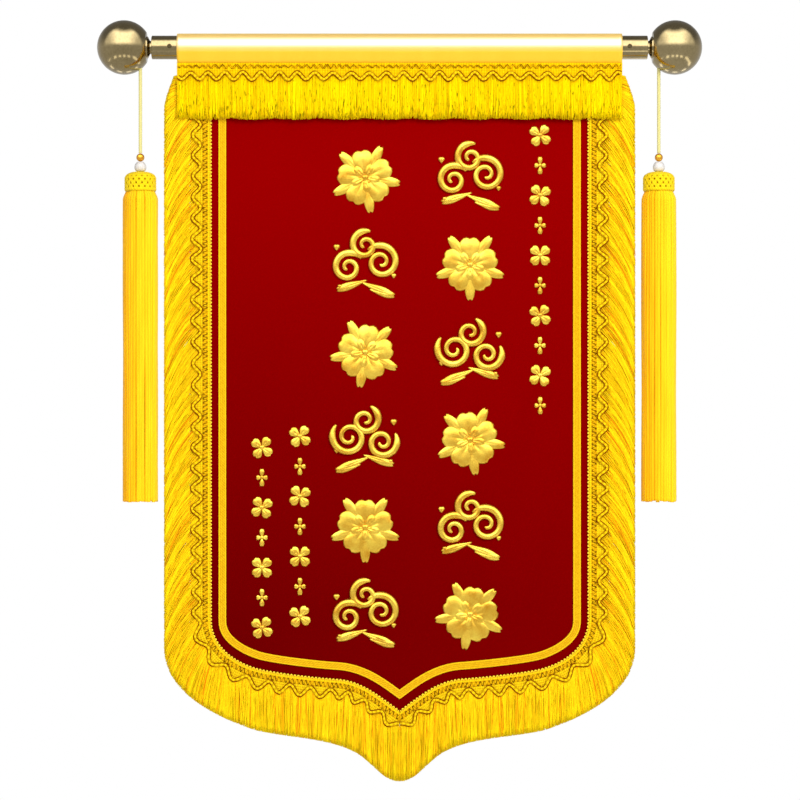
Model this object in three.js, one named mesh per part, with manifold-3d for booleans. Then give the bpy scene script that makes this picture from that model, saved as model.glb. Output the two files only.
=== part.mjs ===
import * as THREE from 'three';
import { mergeVertices } from 'three/addons/utils/BufferGeometryUtils.js';
import Module from 'manifold-3d';

// Hanging banner: velvet panel with braid, fringe and ribbon, on a rod with ball finials and tassels.
// Millimetres. X runs along the rod, -Y faces the viewer, +Z is up, and the rod's axis is Y = Z = 0.

// Rod, finials and screws.
const ROD = { radius: 14.7, wall: 1.4, halfLength: 309.5, edge: 1, sides: 28 };
const BALL = { radius: 34, x: 344, sides: 24, steps: 10, sunk: 3 };
const NECK = { radius: 8.2, fromX: 307.5, toX: 311.6, flareX: 314.6, flareRadius: 13.6, shoulder: 1 };
const PLUG = { radius: 13, x: 279.5, edge: 1.5 };
const SCREW = { x: 286.5, holeRadius: 2.3, holeDepth: 8, shankRadius: 1.9, headRadius: 2.8, headHeight: 1,
                edge: 0.5, edgeHeight: 0.4, slot: 0.8, slotDepth: 0.5, slotLength: 8, sides: 14 };
const DRILL = { length: 30, sides: 12 };
const FIT = 0.3;

// Cord holes and tassels.
const CORD = { x: 324, radius: 2.25, top: -22, bottom: -132.2, sides: 8, steps: 10 };
const CORD_HOLE = { radius: 2.9, depth: 8 };
const BEAD = { radius: 5.8, top: -132.5, bottom: -142.6, steps: 6, sides: 12 };
const BARREL = { top: -142.9, bottom: -155, sides: 14,
                 profile: [[0, 5.4], [0.22, 7.5], [0.55, 7.3], [0.85, 5.4], [1, 4]] };
const HEAD = { top: -155.3, bottom: -181, radius: 19.5, shoulder: 7, sides: 20,
               shoulders: [[1, 1], [0.55, 0.94], [0.2, 0.74], [0, 0.39]] };
const SKIRT = { bottom: -568, outer: 22, inner: 17.6, strands: 26, gap: 0.6, root: 3, tuck: 2.6, sway: 0.6 };

// Satin pocket round the rod: two layers that meet in a seam below it.
const SLEEVE = { halfWidth: 277.5, innerRadius: 15.2, outerRadius: 17.3, seamTop: -27, seamBottom: -34.2,
                 seamHalf: 2.2, foldHalf: 0.2, flank: 3, arcSteps: 20, spans: 4, sag: 0.12, sagTurn: 2.3 };

// Velvet panel and what is sewn on it. Offsets run outwards from the panel's visible edge.
const PANEL = { halfWidth: 237, top: -34.8, sideEnd: -716, thickness: 2, hidden: 12, rows: 15 };
const PANEL_COLUMNS = [0, 26, 52, 78, 104, 130, 156, 180, 201, 219, 233, 243, 249];
const EDGE_SPANS = [
  { from: [-237, -716], bend: [-237, -740], lead: [-220, -765], to: [-181, -777], steps: 7 },
  { from: [-181, -777], bend: [-162, -783], lead: [-96, -790], to: [-77, -791], steps: 5 },
  { from: [-77, -791], bend: [-46, -794], lead: [-27, -812], to: [0, -831], steps: 6 },
];
const FOLDS = [
  { fold: 'right shoulder', line: [[232, -228], [207, -334], [150, -441]], width: 30, depth: 3.6 },
  { fold: 'right ridge', line: [[200, -441], [125, -666]], width: 32, depth: -3.8 },
  { fold: 'right hollow', line: [[236, -453], [163, -647], [119, -765]], width: 27, depth: 3.4 },
  { fold: 'point hollow', line: [[63, -628], [50, -760]], width: 28, depth: 1.8 },
  { fold: 'middle belly', line: [[-20, -480], [20, -560]], width: 110, depth: -3 },
  { fold: 'left ripple', line: [[-188, -690], [-182, -750]], width: 24, depth: 1.4 },
  { fold: 'left ripple, inner', line: [[-118, -700], [-112, -765]], width: 24, depth: 1.4 },
];
const FOLD_FADE = { from: 16, to: 80, left: 0.1 };
const SWAY = { depth: 2, length: 310, phase: 0.6 };
const LAYER_GAP = 0.8;
const RIBBON = { sideInset: 15.5, bottomInset: 18.2, turnFrom: -730, turnTo: -775, halfWidth: 4.75,
                 thickness: 1, step: 42 };
const BRAID = { inner: -0.5, outer: 24.7, thickness: 1.6, step: 42 };
const FRINGE = { inner: 25.2, outer: 28.4, depth: 2.5, spacing: 8.2, gap: 0.8, bulge: 2.6, ragged: 3,
                 sideLean: 0.56, plumbFrom: -205, plumbTo: -262, split: -716.5, bendAt: 0.45, tip: 0.88,
                 tipDepth: 0.7, stations: 400 };
const GIMP = { width: 3.4, height: 1.5, sidePeriod: 26, sideAmplitude: 5.2, middle: 16.5,
               topPeriod: 22.2, topAmplitude: 4.2, topMiddle: -36.9, gap: 0.4, bends: 4 };

// The outer outline of the edge fringe on the left, from under the top trim to the point.
const FRINGE_SPANS = [
  { from: [-279, -28], bend: [-284, -44], lead: [-294, -62], to: [-294, -80], steps: 4 },
  { from: [-294, -80], bend: [-294, -300], lead: [-294, -520], to: [-294, -750], steps: 1 },
  { from: [-294, -750], bend: [-294, -790], lead: [-262, -826], to: [-180, -853], steps: 7 },
  { from: [-180, -853], bend: [-140, -862], lead: [-92, -862], to: [-58, -879], steps: 4 },
  { from: [-58, -879], bend: [-34, -891], lead: [-22, -917], to: [0, -917], steps: 5 },
];

// Top trim, hanging in front of the pocket's seam.
const TOP = { halfWidth: 277.5, top: -20.4, bottom: -44.2, thickness: 1.6, backTop: -9.6, backBottom: -8.4,
              spans: 18, ripple: 0.4, rippleLength: 92 };
const TOP_FRINGE = { top: -44.7, root: -47.6, bottom: -90.9, count: 60, depth: 2.5, lean: 1.6, gap: 0.8,
                     ragged: 1.6, drift: 0.5, tip: 0.95, tipDepth: 0.8 };
const SEEDS = { edgeFringe: 7, topTip: 20, topDrift: 40, skirt: 50 };

const COLOURS = {
  ball: [0x9a8a64, 0.28, 0.9],
  rod: [0x6f5c37, 0.35, 0.9],
  screw: [0xb9b2a0, 0.35, 0.9],
  satin: [0xf7cf3a, 0.35, 0],
  velvet: [0x8e0306, 0.9, 0],
  ribbon: [0xeeb412, 0.6, 0],
  topBraid: [0xf0b60e, 0.7, 0],
  topFringe: [0xf9d10c, 0.6, 0],
  braid: [0xf3c018, 0.7, 0],
  fringe: [0xfccf16, 0.6, 0],
  gimp: [0xf8cf3c, 0.6, 0],
  cord: [0xefe8a6, 0.7, 0],
  bead: [0xf0b83c, 0.3, 0.3],
  barrel: [0xf7f3f0, 0.3, 0],
  tassel: [0xf9cc1a, 0.6, 0],
};

const wasm = await Module();
wasm.setup();

const banner = new THREE.Group();
banner.name = 'honor_banner';

// Small helpers

/** A closed geometry from corners and triangles, turned so that its faces look outwards. */
function closedGeometry(corners, triangles) {
  let volume = 0;
  for (const [a, b, c] of triangles) {
    volume += corners[a].dot(new THREE.Vector3().crossVectors(corners[b], corners[c]));
  }
  const index = triangles.flatMap(([a, b, c]) => (volume < 0 ? [a, c, b] : [a, b, c]));
  const geometry = new THREE.BufferGeometry();
  geometry.setAttribute('position', new THREE.Float32BufferAttribute(corners.flatMap((p) => p.toArray()), 3));
  geometry.setIndex(index);
  return geometry;
}

/** A solid through equal closed rings of points, with a flat fan at each end. */
function loft(rings) {
  const sides = rings[0].length;
  const triangles = [];
  for (let r = 0; r + 1 < rings.length; r += 1) {
    for (let k = 0; k < sides; k += 1) {
      const next = (k + 1) % sides;
      const a = r * sides + k;
      const b = r * sides + next;
      triangles.push([a, b, b + sides], [a, b + sides, a + sides]);
    }
  }
  const last = (rings.length - 1) * sides;
  for (let k = 1; k + 1 < sides; k += 1) {
    triangles.push([0, k + 1, k], [last, last + k, last + k + 1]);
  }
  return closedGeometry(rings.flat(), triangles);
}

/** A sheet between a front and a back grid of points, closed round its rim. */
function sheet(front, back) {
  const rows = front.length;
  const columns = front[0].length;
  const at = (r, c) => r * columns + c;
  const shift = rows * columns;
  const triangles = [];
  for (let r = 0; r + 1 < rows; r += 1) {
    for (let c = 0; c + 1 < columns; c += 1) {
      const quad = [at(r, c), at(r + 1, c), at(r + 1, c + 1), at(r, c + 1)];
      triangles.push([quad[0], quad[1], quad[2]], [quad[0], quad[2], quad[3]]);
      const far = quad.map((i) => i + shift);
      triangles.push([far[0], far[2], far[1]], [far[0], far[3], far[2]]);
    }
  }
  const rim = [];
  for (let c = 0; c + 1 < columns; c += 1) rim.push([at(0, c), at(0, c + 1)]);
  for (let r = 0; r + 1 < rows; r += 1) rim.push([at(r, columns - 1), at(r + 1, columns - 1)]);
  for (let c = columns - 1; c > 0; c -= 1) rim.push([at(rows - 1, c), at(rows - 1, c - 1)]);
  for (let r = rows - 1; r > 0; r -= 1) rim.push([at(r, 0), at(r - 1, 0)]);
  for (const [a, b] of rim) triangles.push([a, b, b + shift], [a, b + shift, a + shift]);
  return closedGeometry([...front.flat(), ...back.flat()], triangles);
}

/** A profile of [along, radius] pairs turned about Z, with along as height. */
function turned(profile, sides) {
  return new THREE.LatheGeometry(profile.map(([z, r]) => new THREE.Vector2(r, z)), sides)
    .rotateX(Math.PI / 2);
}

/** A geometry as a manifold solid. */
function toManifold(geometry) {
  const plain = new THREE.BufferGeometry();
  plain.setAttribute('position', geometry.getAttribute('position'));
  if (geometry.getIndex()) plain.setIndex(geometry.getIndex());
  const merged = mergeVertices(plain, 1e-4);
  const corners = merged.getAttribute('position');
  const index = merged.getIndex();
  const kept = [];
  for (let t = 0; t < index.count; t += 3) {
    const [a, b, c] = [index.getX(t), index.getX(t + 1), index.getX(t + 2)];
    if (a !== b && b !== c && c !== a) kept.push(a, b, c);
  }
  return new wasm.Manifold(new wasm.Mesh({
    numProp: 3,
    vertProperties: new Float32Array(corners.array),
    triVerts: new Uint32Array(kept),
  }));
}

/** A manifold solid as a geometry. */
function fromManifold(solid) {
  const mesh = solid.getMesh();
  const geometry = new THREE.BufferGeometry();
  geometry.setAttribute('position', new THREE.BufferAttribute(new Float32Array(mesh.vertProperties), 3));
  geometry.setIndex(new THREE.BufferAttribute(new Uint32Array(mesh.triVerts), 1));
  return geometry;
}

/** All the geometries joined in one solid. */
function joined(geometries) {
  return fromManifold(wasm.Manifold.union(geometries.map(toManifold)));
}

/** The first geometry with the others cut out of it. */
function cut(geometry, tools) {
  let solid = toManifold(geometry);
  for (const tool of tools) solid = solid.subtract(toManifold(tool));
  return fromManifold(solid);
}

/** The same shape on the other side of the banner's middle. */
function mirrored(geometry) {
  const twin = geometry.clone();
  if (!twin.getIndex()) twin.setIndex([...Array(twin.getAttribute('position').count).keys()]);
  twin.scale(-1, 1, 1);
  const index = twin.getIndex();
  for (let t = 0; t < index.count; t += 3) {
    const b = index.getX(t + 1);
    index.setX(t + 1, index.getX(t + 2));
    index.setX(t + 2, b);
  }
  return twin;
}

/** Adds a named piece in its own material. */
function add(name, geometry, [color, roughness, metalness]) {
  const plain = geometry.getIndex() ? geometry.toNonIndexed() : geometry;
  plain.deleteAttribute('normal');
  plain.deleteAttribute('uv');
  plain.computeVertexNormals();
  const mesh = new THREE.Mesh(plain, new THREE.MeshStandardMaterial({ color, roughness, metalness }));
  mesh.name = name;
  banner.add(mesh);
}

/** Adds a piece of the right side and its twin on the left. */
function addPair(name, rightGeometry, colour) {
  add(`${name}_right`, rightGeometry, colour);
  add(`${name}_left`, mirrored(rightGeometry), colour);
}

/** An even, repeatable number from 0 to 1 for a counter. */
function chance(seed) {
  const x = Math.sin(seed * 127.1 + 311.7) * 43758.5453;
  return x - Math.floor(x);
}

/** A smooth step from 0 at low to 1 at high. */
function smooth(low, high, x) {
  const t = Math.min(Math.max((x - low) / (high - low), 0), 1);
  return t * t * (3 - 2 * t);
}

/** The z of a table of x and z at a given x. */
function tableZ(rows, x) {
  let k = 0;
  while (k + 2 < rows.length && rows[k + 1].x < x) k += 1;
  const t = (x - rows[k].x) / (rows[k + 1].x - rows[k].x);
  return rows[k].z + t * (rows[k + 1].z - rows[k].z);
}

// How the cloth hangs

/** The distance of a point from a line of points. */
function distanceToLine(line, x, z) {
  let least = Infinity;
  for (let k = 0; k + 1 < line.length; k += 1) {
    const [ax, az] = line[k];
    const [bx, bz] = [line[k + 1][0] - ax, line[k + 1][1] - az];
    const t = Math.min(Math.max(((x - ax) * bx + (z - az) * bz) / (bx * bx + bz * bz), 0), 1);
    least = Math.min(least, Math.hypot(x - ax - t * bx, z - az - t * bz));
  }
  return least;
}

/** How much of a fold is left at a point: the sewn trim keeps the cloth nearly flat beside it. */
function foldShare(x, z) {
  const side = -Math.abs(x);
  const outside = side <= -PANEL.halfWidth || z < PANEL.sideEnd && z < tableZ(EDGE.slice(1), side);
  const inset = outside ? 0 : distanceToLine(EDGE.map((p) => [p.x, p.z]), side, z);
  return FOLD_FADE.left + (1 - FOLD_FADE.left) * smooth(FOLD_FADE.from, FOLD_FADE.to, inset);
}

/** How far the cloth's middle lies behind the rod's axis at a point of the banner's plane. */
function hangY(x, z) {
  const fade = foldShare(x, z);
  let y = 0;
  for (const fold of FOLDS) {
    y += fade * fold.depth * Math.exp(-((distanceToLine(fold.line, x, z) / fold.width) ** 2));
  }
  const down = smooth(-120, -820, z);
  return y + SWAY.depth * down * Math.sin((2 * Math.PI * x) / SWAY.length + SWAY.phase);
}

/** The points of a chain of curves, each with the outward direction beside it. */
function curvePoints(spans) {
  const line = spans.flatMap(({ from, bend, lead, to, steps }) => {
    const curve = new THREE.CubicBezierCurve(
      ...[from, bend, lead, to].map(([x, z]) => new THREE.Vector2(x, z)));
    return [...Array(steps).keys()].map((k) => {
      const p = curve.getPoint(k / steps);
      const t = curve.getTangent(k / steps);
      return { x: p.x, z: p.y, nx: t.y, nz: -t.x };
    });
  });
  const { lead, to } = spans[spans.length - 1];
  const long = Math.hypot(to[0] - lead[0], to[1] - lead[1]);
  return [...line, { x: to[0], z: to[1], nx: (to[1] - lead[1]) / long, nz: -(to[0] - lead[0]) / long }];
}

/** The left visible edge from the top to the point: fine points with outward directions and lengths. */
function edgeLine() {
  const line = [{ x: -PANEL.halfWidth, z: PANEL.top - 0.4, nx: -1, nz: 0 }, ...curvePoints(EDGE_SPANS)];
  line.forEach((p, k) => {
    p.s = k ? line[k - 1].s + Math.hypot(p.x - line[k - 1].x, p.z - line[k - 1].z) : 0;
  });
  return line;
}

const EDGE = edgeLine();
const FRINGE_OUTLINE = curvePoints(FRINGE_SPANS);
const EDGE_LENGTH = EDGE[EDGE.length - 1].s;
const POINT_COS = -EDGE[EDGE.length - 1].nz;

/** The left edge at a length s from its top. */
function edgeAt(s) {
  let k = 0;
  while (k + 2 < EDGE.length && EDGE[k + 1].s < s) k += 1;
  const [p, q] = [EDGE[k], EDGE[k + 1]];
  const t = (s - p.s) / (q.s - p.s);
  const mix = (name) => p[name] + t * (q[name] - p[name]);
  return { x: mix('x'), z: mix('z'), nx: mix('nx'), nz: mix('nz') };
}

/** Lengths along the edge: even steps down the side, then every point of the curved part. */
function edgeSteps(step, from = 0) {
  const side = EDGE[1].s;
  const count = Math.round((side - from) / step);
  const steps = [...Array(count).keys()].map((k) => from + ((side - from) * k) / count);
  return [...steps, ...EDGE.slice(1, -1).map((p) => p.s)];
}

/** Pairs of inner and outer points of a strip beside the left edge, mitred at the middle. */
function stripPairs(inner, outer, lengths, middleX) {
  const pairs = lengths.map((s) => {
    const p = edgeAt(s);
    return [inner, outer].map((offset) => [p.x + p.nx * offset(p.z), p.z + p.nz * offset(p.z)]);
  }).filter((pair) => pair.every(([x]) => x < middleX - 1.5));
  const tip = EDGE[EDGE.length - 1].z;
  pairs.push([inner, outer].map((offset) => [middleX, tip - offset(tip) / POINT_COS]));
  return pairs;
}

/** Four corners of a strip's section at a pair: front inner, front outer, back outer, back inner. */
function stripRing([a, b], front, thickness) {
  const at = ([x, z], extra) => new THREE.Vector3(x, hangY(x, z) - PANEL.thickness / 2 - front + extra, z);
  return [at(a, 0), at(b, 0), at(b, thickness), at(a, thickness)];
}

/** A strip sewn beside an edge, its front a given way before the velvet's face. */
function stripSolid(pairs, front, thickness) {
  return loft(pairs.map((pair) => stripRing(pair, front, thickness)));
}

/** A point of the left side, on the side asked for. */
const onSide = (side, [x, z]) => [side === 'left' ? x : -x, z];

// Rod, finials and screws

/** The rod: a tube with rounded mouths and a screw hole in the front of each end. */
function rodGeometry() {
  const { radius, wall, halfLength, edge, sides } = ROD;
  const profile = [
    [-halfLength, radius - wall], [-halfLength, radius - edge], [-halfLength + edge, radius],
    [halfLength - edge, radius], [halfLength, radius - edge], [halfLength, radius - wall],
    [-halfLength, radius - wall],
  ];
  const tube = turned(profile, sides).rotateY(Math.PI / 2);
  const { holeRadius, holeDepth } = SCREW;
  const drill = new THREE.CylinderGeometry(holeRadius, holeRadius, holeDepth, DRILL.sides);
  const drills = [-1, 1].map((side) => drill.clone().translate(side * SCREW.x, -radius, 0));
  return cut(tube, drills);
}

/** The right finial: plug, neck, flare and ball in one, with a hole for the tassel's cord below. */
function finialGeometry() {
  const startAngle = Math.acos((NECK.flareX + BALL.sunk - BALL.x) / BALL.radius);
  const profile = [
    [PLUG.x, 0], [PLUG.x, PLUG.radius - PLUG.edge], [PLUG.x + PLUG.edge, PLUG.radius],
    [NECK.fromX - NECK.shoulder, PLUG.radius], [NECK.fromX, NECK.radius], [NECK.toX, NECK.radius],
    [NECK.flareX, NECK.flareRadius],
  ];
  for (let k = 0; k <= BALL.steps; k += 1) {
    const angle = startAngle * (1 - k / BALL.steps);
    const radius = k === BALL.steps ? 0 : BALL.radius * Math.sin(angle);
    profile.push([BALL.x + BALL.radius * Math.cos(angle), radius]);
  }
  const body = turned(profile, BALL.sides).rotateY(Math.PI / 2);
  const surface = -Math.sqrt(BALL.radius ** 2 - (BALL.x - CORD.x) ** 2);
  const drill = new THREE.CylinderGeometry(CORD_HOLE.radius, CORD_HOLE.radius, DRILL.length, DRILL.sides)
    .rotateX(Math.PI / 2).translate(CORD.x, 0, surface + CORD_HOLE.depth - DRILL.length / 2);
  return cut(body, [drill]);
}

/** The right grub screw: shank and slotted head on the rod's front. */
function screwGeometry() {
  const seat = ROD.radius + FIT;
  const { x, shankRadius, headRadius, headHeight, edge, edgeHeight } = SCREW;
  const profile = [
    [PLUG.radius + FIT, 0], [PLUG.radius + FIT, shankRadius], [seat, shankRadius],
    [seat, headRadius], [seat + headHeight - edgeHeight, headRadius],
    [seat + headHeight, headRadius - edge], [seat + headHeight, 0],
  ];
  const body = turned(profile, SCREW.sides).rotateX(Math.PI / 2).translate(x, 0, 0);
  const slot = new THREE.BoxGeometry(SCREW.slotLength, 2 * SCREW.slotDepth, SCREW.slot)
    .translate(x, -seat - headHeight, 0);
  return cut(body, [slot]);
}

// Sleeve and panel

/** One outline of the pocket's section, from the seam up one flank, over the rod and down the other. */
function pocketOutline(radius, seamHalf, seamZ) {
  const reach = Math.hypot(seamHalf, seamZ);
  const turn = Math.acos(radius / reach) + Math.atan2(seamHalf, -seamZ);
  const outline = [[-seamHalf, seamZ]];
  for (let k = 0; k <= SLEEVE.arcSteps; k += 1) {
    const angle = -turn - ((2 * Math.PI - 2 * turn) * k) / SLEEVE.arcSteps;
    outline.push([radius * Math.sin(angle), -radius * Math.cos(angle)]);
  }
  outline.push([seamHalf, seamZ]);
  return outline;
}

/** The satin pocket: its outer and inner faces swept along the rod, with the seam's tail below. */
function sleeveGeometry() {
  const outer = pocketOutline(SLEEVE.outerRadius, SLEEVE.seamHalf, SLEEVE.seamTop - SLEEVE.flank);
  outer[0] = [-SLEEVE.seamHalf, SLEEVE.seamBottom];
  outer[outer.length - 1] = [SLEEVE.seamHalf, SLEEVE.seamBottom];
  const inner = pocketOutline(SLEEVE.innerRadius, SLEEVE.foldHalf, SLEEVE.seamTop);
  const count = outer.length;
  const corners = [];
  for (let s = 0; s <= SLEEVE.spans; s += 1) {
    const x = SLEEVE.halfWidth * ((2 * s) / SLEEVE.spans - 1);
    const sag = SLEEVE.sag * Math.sin(s * SLEEVE.sagTurn);
    outer.forEach(([y, z]) => corners.push(new THREE.Vector3(x, y + (z > 0 ? 0 : sag), z)));
    inner.forEach(([y, z]) => corners.push(new THREE.Vector3(x, y, z)));
  }
  const ring = 2 * count;
  const triangles = [];
  for (let s = 0; s < SLEEVE.spans; s += 1) {
    for (let k = 0; k < count; k += 1) {
      const next = (k + 1) % count;
      const a = s * ring + k;
      const b = s * ring + next;
      triangles.push([a, b + ring, b], [a, a + ring, b + ring]);
      const c = a + count;
      const d = b + count;
      triangles.push([c, d, d + ring], [c, d + ring, c + ring]);
    }
  }
  const end = SLEEVE.spans * ring;
  for (let k = 0; k < count; k += 1) {
    const next = (k + 1) % count;
    triangles.push([k, next, next + count], [k, next + count, k + count]);
    triangles.push([end + k, end + next + count, end + next], [end + k, end + k + count, end + next + count]);
  }
  return closedGeometry(corners, triangles);
}

/** The panel: vertical columns from the seam down to the edge hidden under the braid. */
function panelGeometry() {
  const lower = stripPairs(() => 0, () => PANEL.hidden, EDGE.slice(1, -1).map((p) => p.s), 0)
    .map(([, [x, z]]) => ({ x, z }));
  const columns = [...PANEL_COLUMNS.slice(1).reverse().map((x) => -x), ...PANEL_COLUMNS];
  const front = [];
  const back = [];
  for (let r = 0; r <= PANEL.rows; r += 1) {
    const rows = [[], []];
    for (const x of columns) {
      const bottom = tableZ(lower, -Math.abs(x));
      const z = PANEL.top + ((bottom - PANEL.top) * r) / PANEL.rows;
      rows[0].push(new THREE.Vector3(x, hangY(x, z) - PANEL.thickness / 2, z));
      rows[1].push(new THREE.Vector3(x, hangY(x, z) + PANEL.thickness / 2, z));
    }
    front.push(rows[0]);
    back.push(rows[1]);
  }
  return sheet(front, back);
}

/** The inset ribbon: down the left side, round the point and up the right side. */
function ribbonGeometry() {
  const { sideInset, bottomInset, turnFrom, turnTo, halfWidth } = RIBBON;
  const middle = (z) => -sideInset - (bottomInset - sideInset) * smooth(turnFrom, turnTo, z);
  const left = stripPairs((z) => middle(z) - halfWidth, (z) => middle(z) + halfWidth,
    edgeSteps(RIBBON.step), 0);
  const right = left.slice(0, -1).reverse().map((pair) => pair.map(([x, z]) => [-x, z]));
  return stripSolid([...left, ...right], LAYER_GAP + RIBBON.thickness, RIBBON.thickness);
}

// Edge trim

const BRAID_FRONT = LAYER_GAP + BRAID.thickness;

/** The braid of one side, from under the top trim to the mitre. */
function braidGeometry(side) {
  const pairs = stripPairs(() => BRAID.inner, () => BRAID.outer, edgeSteps(BRAID.step), -0.25);
  return stripSolid(pairs.map((pair) => pair.map((p) => onSide(side, p))), BRAID_FRONT, BRAID.thickness);
}

/** A bar of three faces along points, lying on a surface that frontY gives. */
function ridgeBar(points, halfWidth, height, frontY) {
  return loft(points.map(([x, z], k) => {
    const [ax, az] = points[Math.max(k - 1, 0)];
    const [bx, bz] = points[Math.min(k + 1, points.length - 1)];
    const long = Math.hypot(bx - ax, bz - az);
    const [nx, nz] = [-(bz - az) / long, (bx - ax) / long];
    const y = frontY(x, z);
    return [
      new THREE.Vector3(x + nx * halfWidth, y, z + nz * halfWidth),
      new THREE.Vector3(x - nx * halfWidth, y, z - nz * halfWidth),
      new THREE.Vector3(x, y - height, z),
    ];
  }));
}

/** Whether a bend of a wave lies on its outer side: the first half of its bends do. */
const isOuterBend = (n) => n % GIMP.bends < GIMP.bends / 2;

/** The wavy gimp cord on one side's braid, four bends to a wave. */
function gimpGeometry(side) {
  const start = PANEL.top - TOP.bottom - PANEL.thickness;
  const bends = GIMP.bends * Math.round((EDGE_LENGTH - start) / GIMP.sidePeriod);
  const points = [];
  for (let n = 0; n < bends; n += 1) {
    const p = edgeAt(start + ((EDGE_LENGTH - start) * (n + 0.5)) / bends);
    const d = GIMP.middle + (isOuterBend(n) ? 1 : -1) * GIMP.sideAmplitude;
    points.push([p.x + p.nx * d, p.z + p.nz * d]);
  }
  const front = (x, z) => hangY(x, z) - PANEL.thickness / 2 - BRAID_FRONT - GIMP.gap;
  const kept = points.filter(([x]) => x < -2.5).map((p) => onSide(side, p));
  return ridgeBar(kept, GIMP.width / 2, GIMP.height, front);
}

/**
 * A fringe: a narrow backing with a lock of three faces rooted at each tooth, all in one solid.
 * A tooth has an upper point on the backing's far side, a left and a right root on its near side,
 * and a path of points with half widths down to its end.
 */
function fringe(teeth, depth, backY, side = 'left') {
  const corners = [];
  const triangles = [];
  const put = (leftX, leftZ, front) => {
    const [x, z] = onSide(side, [leftX, leftZ]);
    return corners.push(new THREE.Vector3(x, backY(x, z) - front, z)) - 1;
  };
  const face = (...ring) => {
    for (let k = 1; k + 1 < ring.length; k += 1) triangles.push([ring[0], ring[k], ring[k + 1]]);
  };
  const rows = teeth.map(({ upper, left, right, path }) => {
    const [x, z] = [(left[0] + right[0]) / 2, (left[1] + right[1]) / 2];
    const rings = [[put(...left, 0), put(...right, 0), put(x, z, depth)]];
    let from = [x, z];
    path.forEach(({ at, half, front }) => {
      const [dx, dz] = [at[0] - from[0], at[1] - from[1]];
      const long = Math.hypot(dx, dz);
      const [ax, az] = [(-dz / long) * half, (dx / long) * half];
      rings.push([put(at[0] - ax, at[1] - az, 0), put(at[0] + ax, at[1] + az, 0), put(...at, front)]);
      from = at;
    });
    rings.slice(1).forEach((ring, j) => {
      const [l, r, f] = rings[j];
      const [l2, r2, f2] = ring;
      face(l, r, r2, l2);
      face(r, f, f2, r2);
      face(f, l, l2, f2);
    });
    face(...rings[rings.length - 1]);
    return { l: rings[0][0], r: rings[0][1], f: rings[0][2], ub: put(...upper, 0), uf: put(...upper, depth) };
  });
  rows.forEach((row, n) => {
    face(row.ub, row.r, row.l);
    const next = rows[n + 1];
    if (!next) return;
    face(row.uf, row.f, next.f, next.uf);
    face(row.ub, next.ub, next.l, row.r);
    face(row.uf, next.uf, next.ub, row.ub);
    face(row.f, row.r, next.l, next.f);
  });
  const [first, last] = [rows[0], rows[rows.length - 1]];
  face(first.uf, first.ub, first.l, first.f);
  face(last.uf, last.f, last.r, last.ub);
  return closedGeometry(corners, triangles);
}

/** Where a ray from a point first meets the fringe's outline. */
function outlineHit([x, z], [dx, dz]) {
  let least = Infinity;
  for (let k = 0; k + 1 < FRINGE_OUTLINE.length; k += 1) {
    const a = FRINGE_OUTLINE[k];
    const [ex, ez] = [FRINGE_OUTLINE[k + 1].x - a.x, FRINGE_OUTLINE[k + 1].z - a.z];
    const across = dx * ez - dz * ex;
    const t = ((a.x - x) * ez - (a.z - z) * ex) / across;
    const u = ((a.x - x) * dz - (a.z - z) * dx) / across;
    if (t > 1 && u >= -0.001 && u <= 1.001) least = Math.min(least, t);
  }
  return least;
}

/** The backing's inner and outer edge points on the left, closely spaced, with lengths along the outer. */
function backingLine() {
  const count = FRINGE.stations;
  const lengths = [...Array(count).keys()].map((k) => (EDGE_LENGTH * (k + 0.5)) / count);
  const line = stripPairs(() => FRINGE.inner, () => FRINGE.outer, lengths, -0.4)
    .map(([inner, outer]) => ({ inner, outer }));
  const [before, tip] = line.slice(-2);
  const extra = [0.25, 0.5, 0.75].map((t) => ({
    inner: before.inner.map((v, i) => v + t * (tip.inner[i] - v)),
    outer: before.outer.map((v, i) => v + t * (tip.outer[i] - v)),
  }));
  return [...line.slice(0, -1), ...extra, tip];
}

/** How far a place has come from the plumb bottom, at 0, to the leaning side, at 1. */
const sideShare = (x) => smooth(FRINGE.plumbFrom, FRINGE.plumbTo, x);

/** The direction of a lock rooted at a point: leaning out down the side, and straight at the bottom. */
function lockDirection([x]) {
  const lean = FRINGE.sideLean * sideShare(x);
  return [-Math.sin(lean), -Math.cos(lean)];
}

/** The teeth of the whole left edge fringe, evenly spaced across the locks' direction. */
function edgeTeeth() {
  const line = backingLine();
  let across = 0;
  line.forEach((p, k) => {
    const d = lockDirection(p.outer);
    if (k) {
      const q = line[k - 1].outer;
      across += Math.abs((p.outer[0] - q[0]) * d[1] - (p.outer[1] - q[1]) * d[0]);
    }
    p.across = across;
  });
  const at = (w) => {
    let k = 0;
    while (k + 2 < line.length && line[k + 1].across < w) k += 1;
    const t = (w - line[k].across) / (line[k + 1].across - line[k].across);
    const mix = (side) => line[k][side].map((v, i) => v + t * (line[k + 1][side][i] - v));
    return { inner: mix('inner'), outer: mix('outer') };
  };
  const count = Math.round(across / FRINGE.spacing);
  const pitch = across / count;
  return [...Array(count).keys()].map((n) => {
    const w = (n + 0.5) * pitch;
    const root = at(w).outer;
    const d = lockDirection(root);
    const long = outlineHit(root, d) - FRINGE.ragged * chance(n + SEEDS.edgeFringe);
    const out = FRINGE.bulge * sideShare(root[0]);
    const down = long * FRINGE.bendAt;
    const bend = [root[0] + d[0] * down + d[1] * out, root[1] + d[1] * down - d[0] * out];
    const tip = [root[0] + d[0] * long, root[1] + d[1] * long];
    const half = pitch / 2 - FRINGE.gap / 2;
    return {
      upper: at(w).inner,
      left: at(w - half).outer,
      right: at(w + half).outer,
      path: [
        { at: bend, half, front: FRINGE.depth },
        { at: tip, half: half * FRINGE.tip, front: FRINGE.depth * FRINGE.tipDepth },
      ],
    };
  });
}

const EDGE_TEETH = edgeTeeth();

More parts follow.
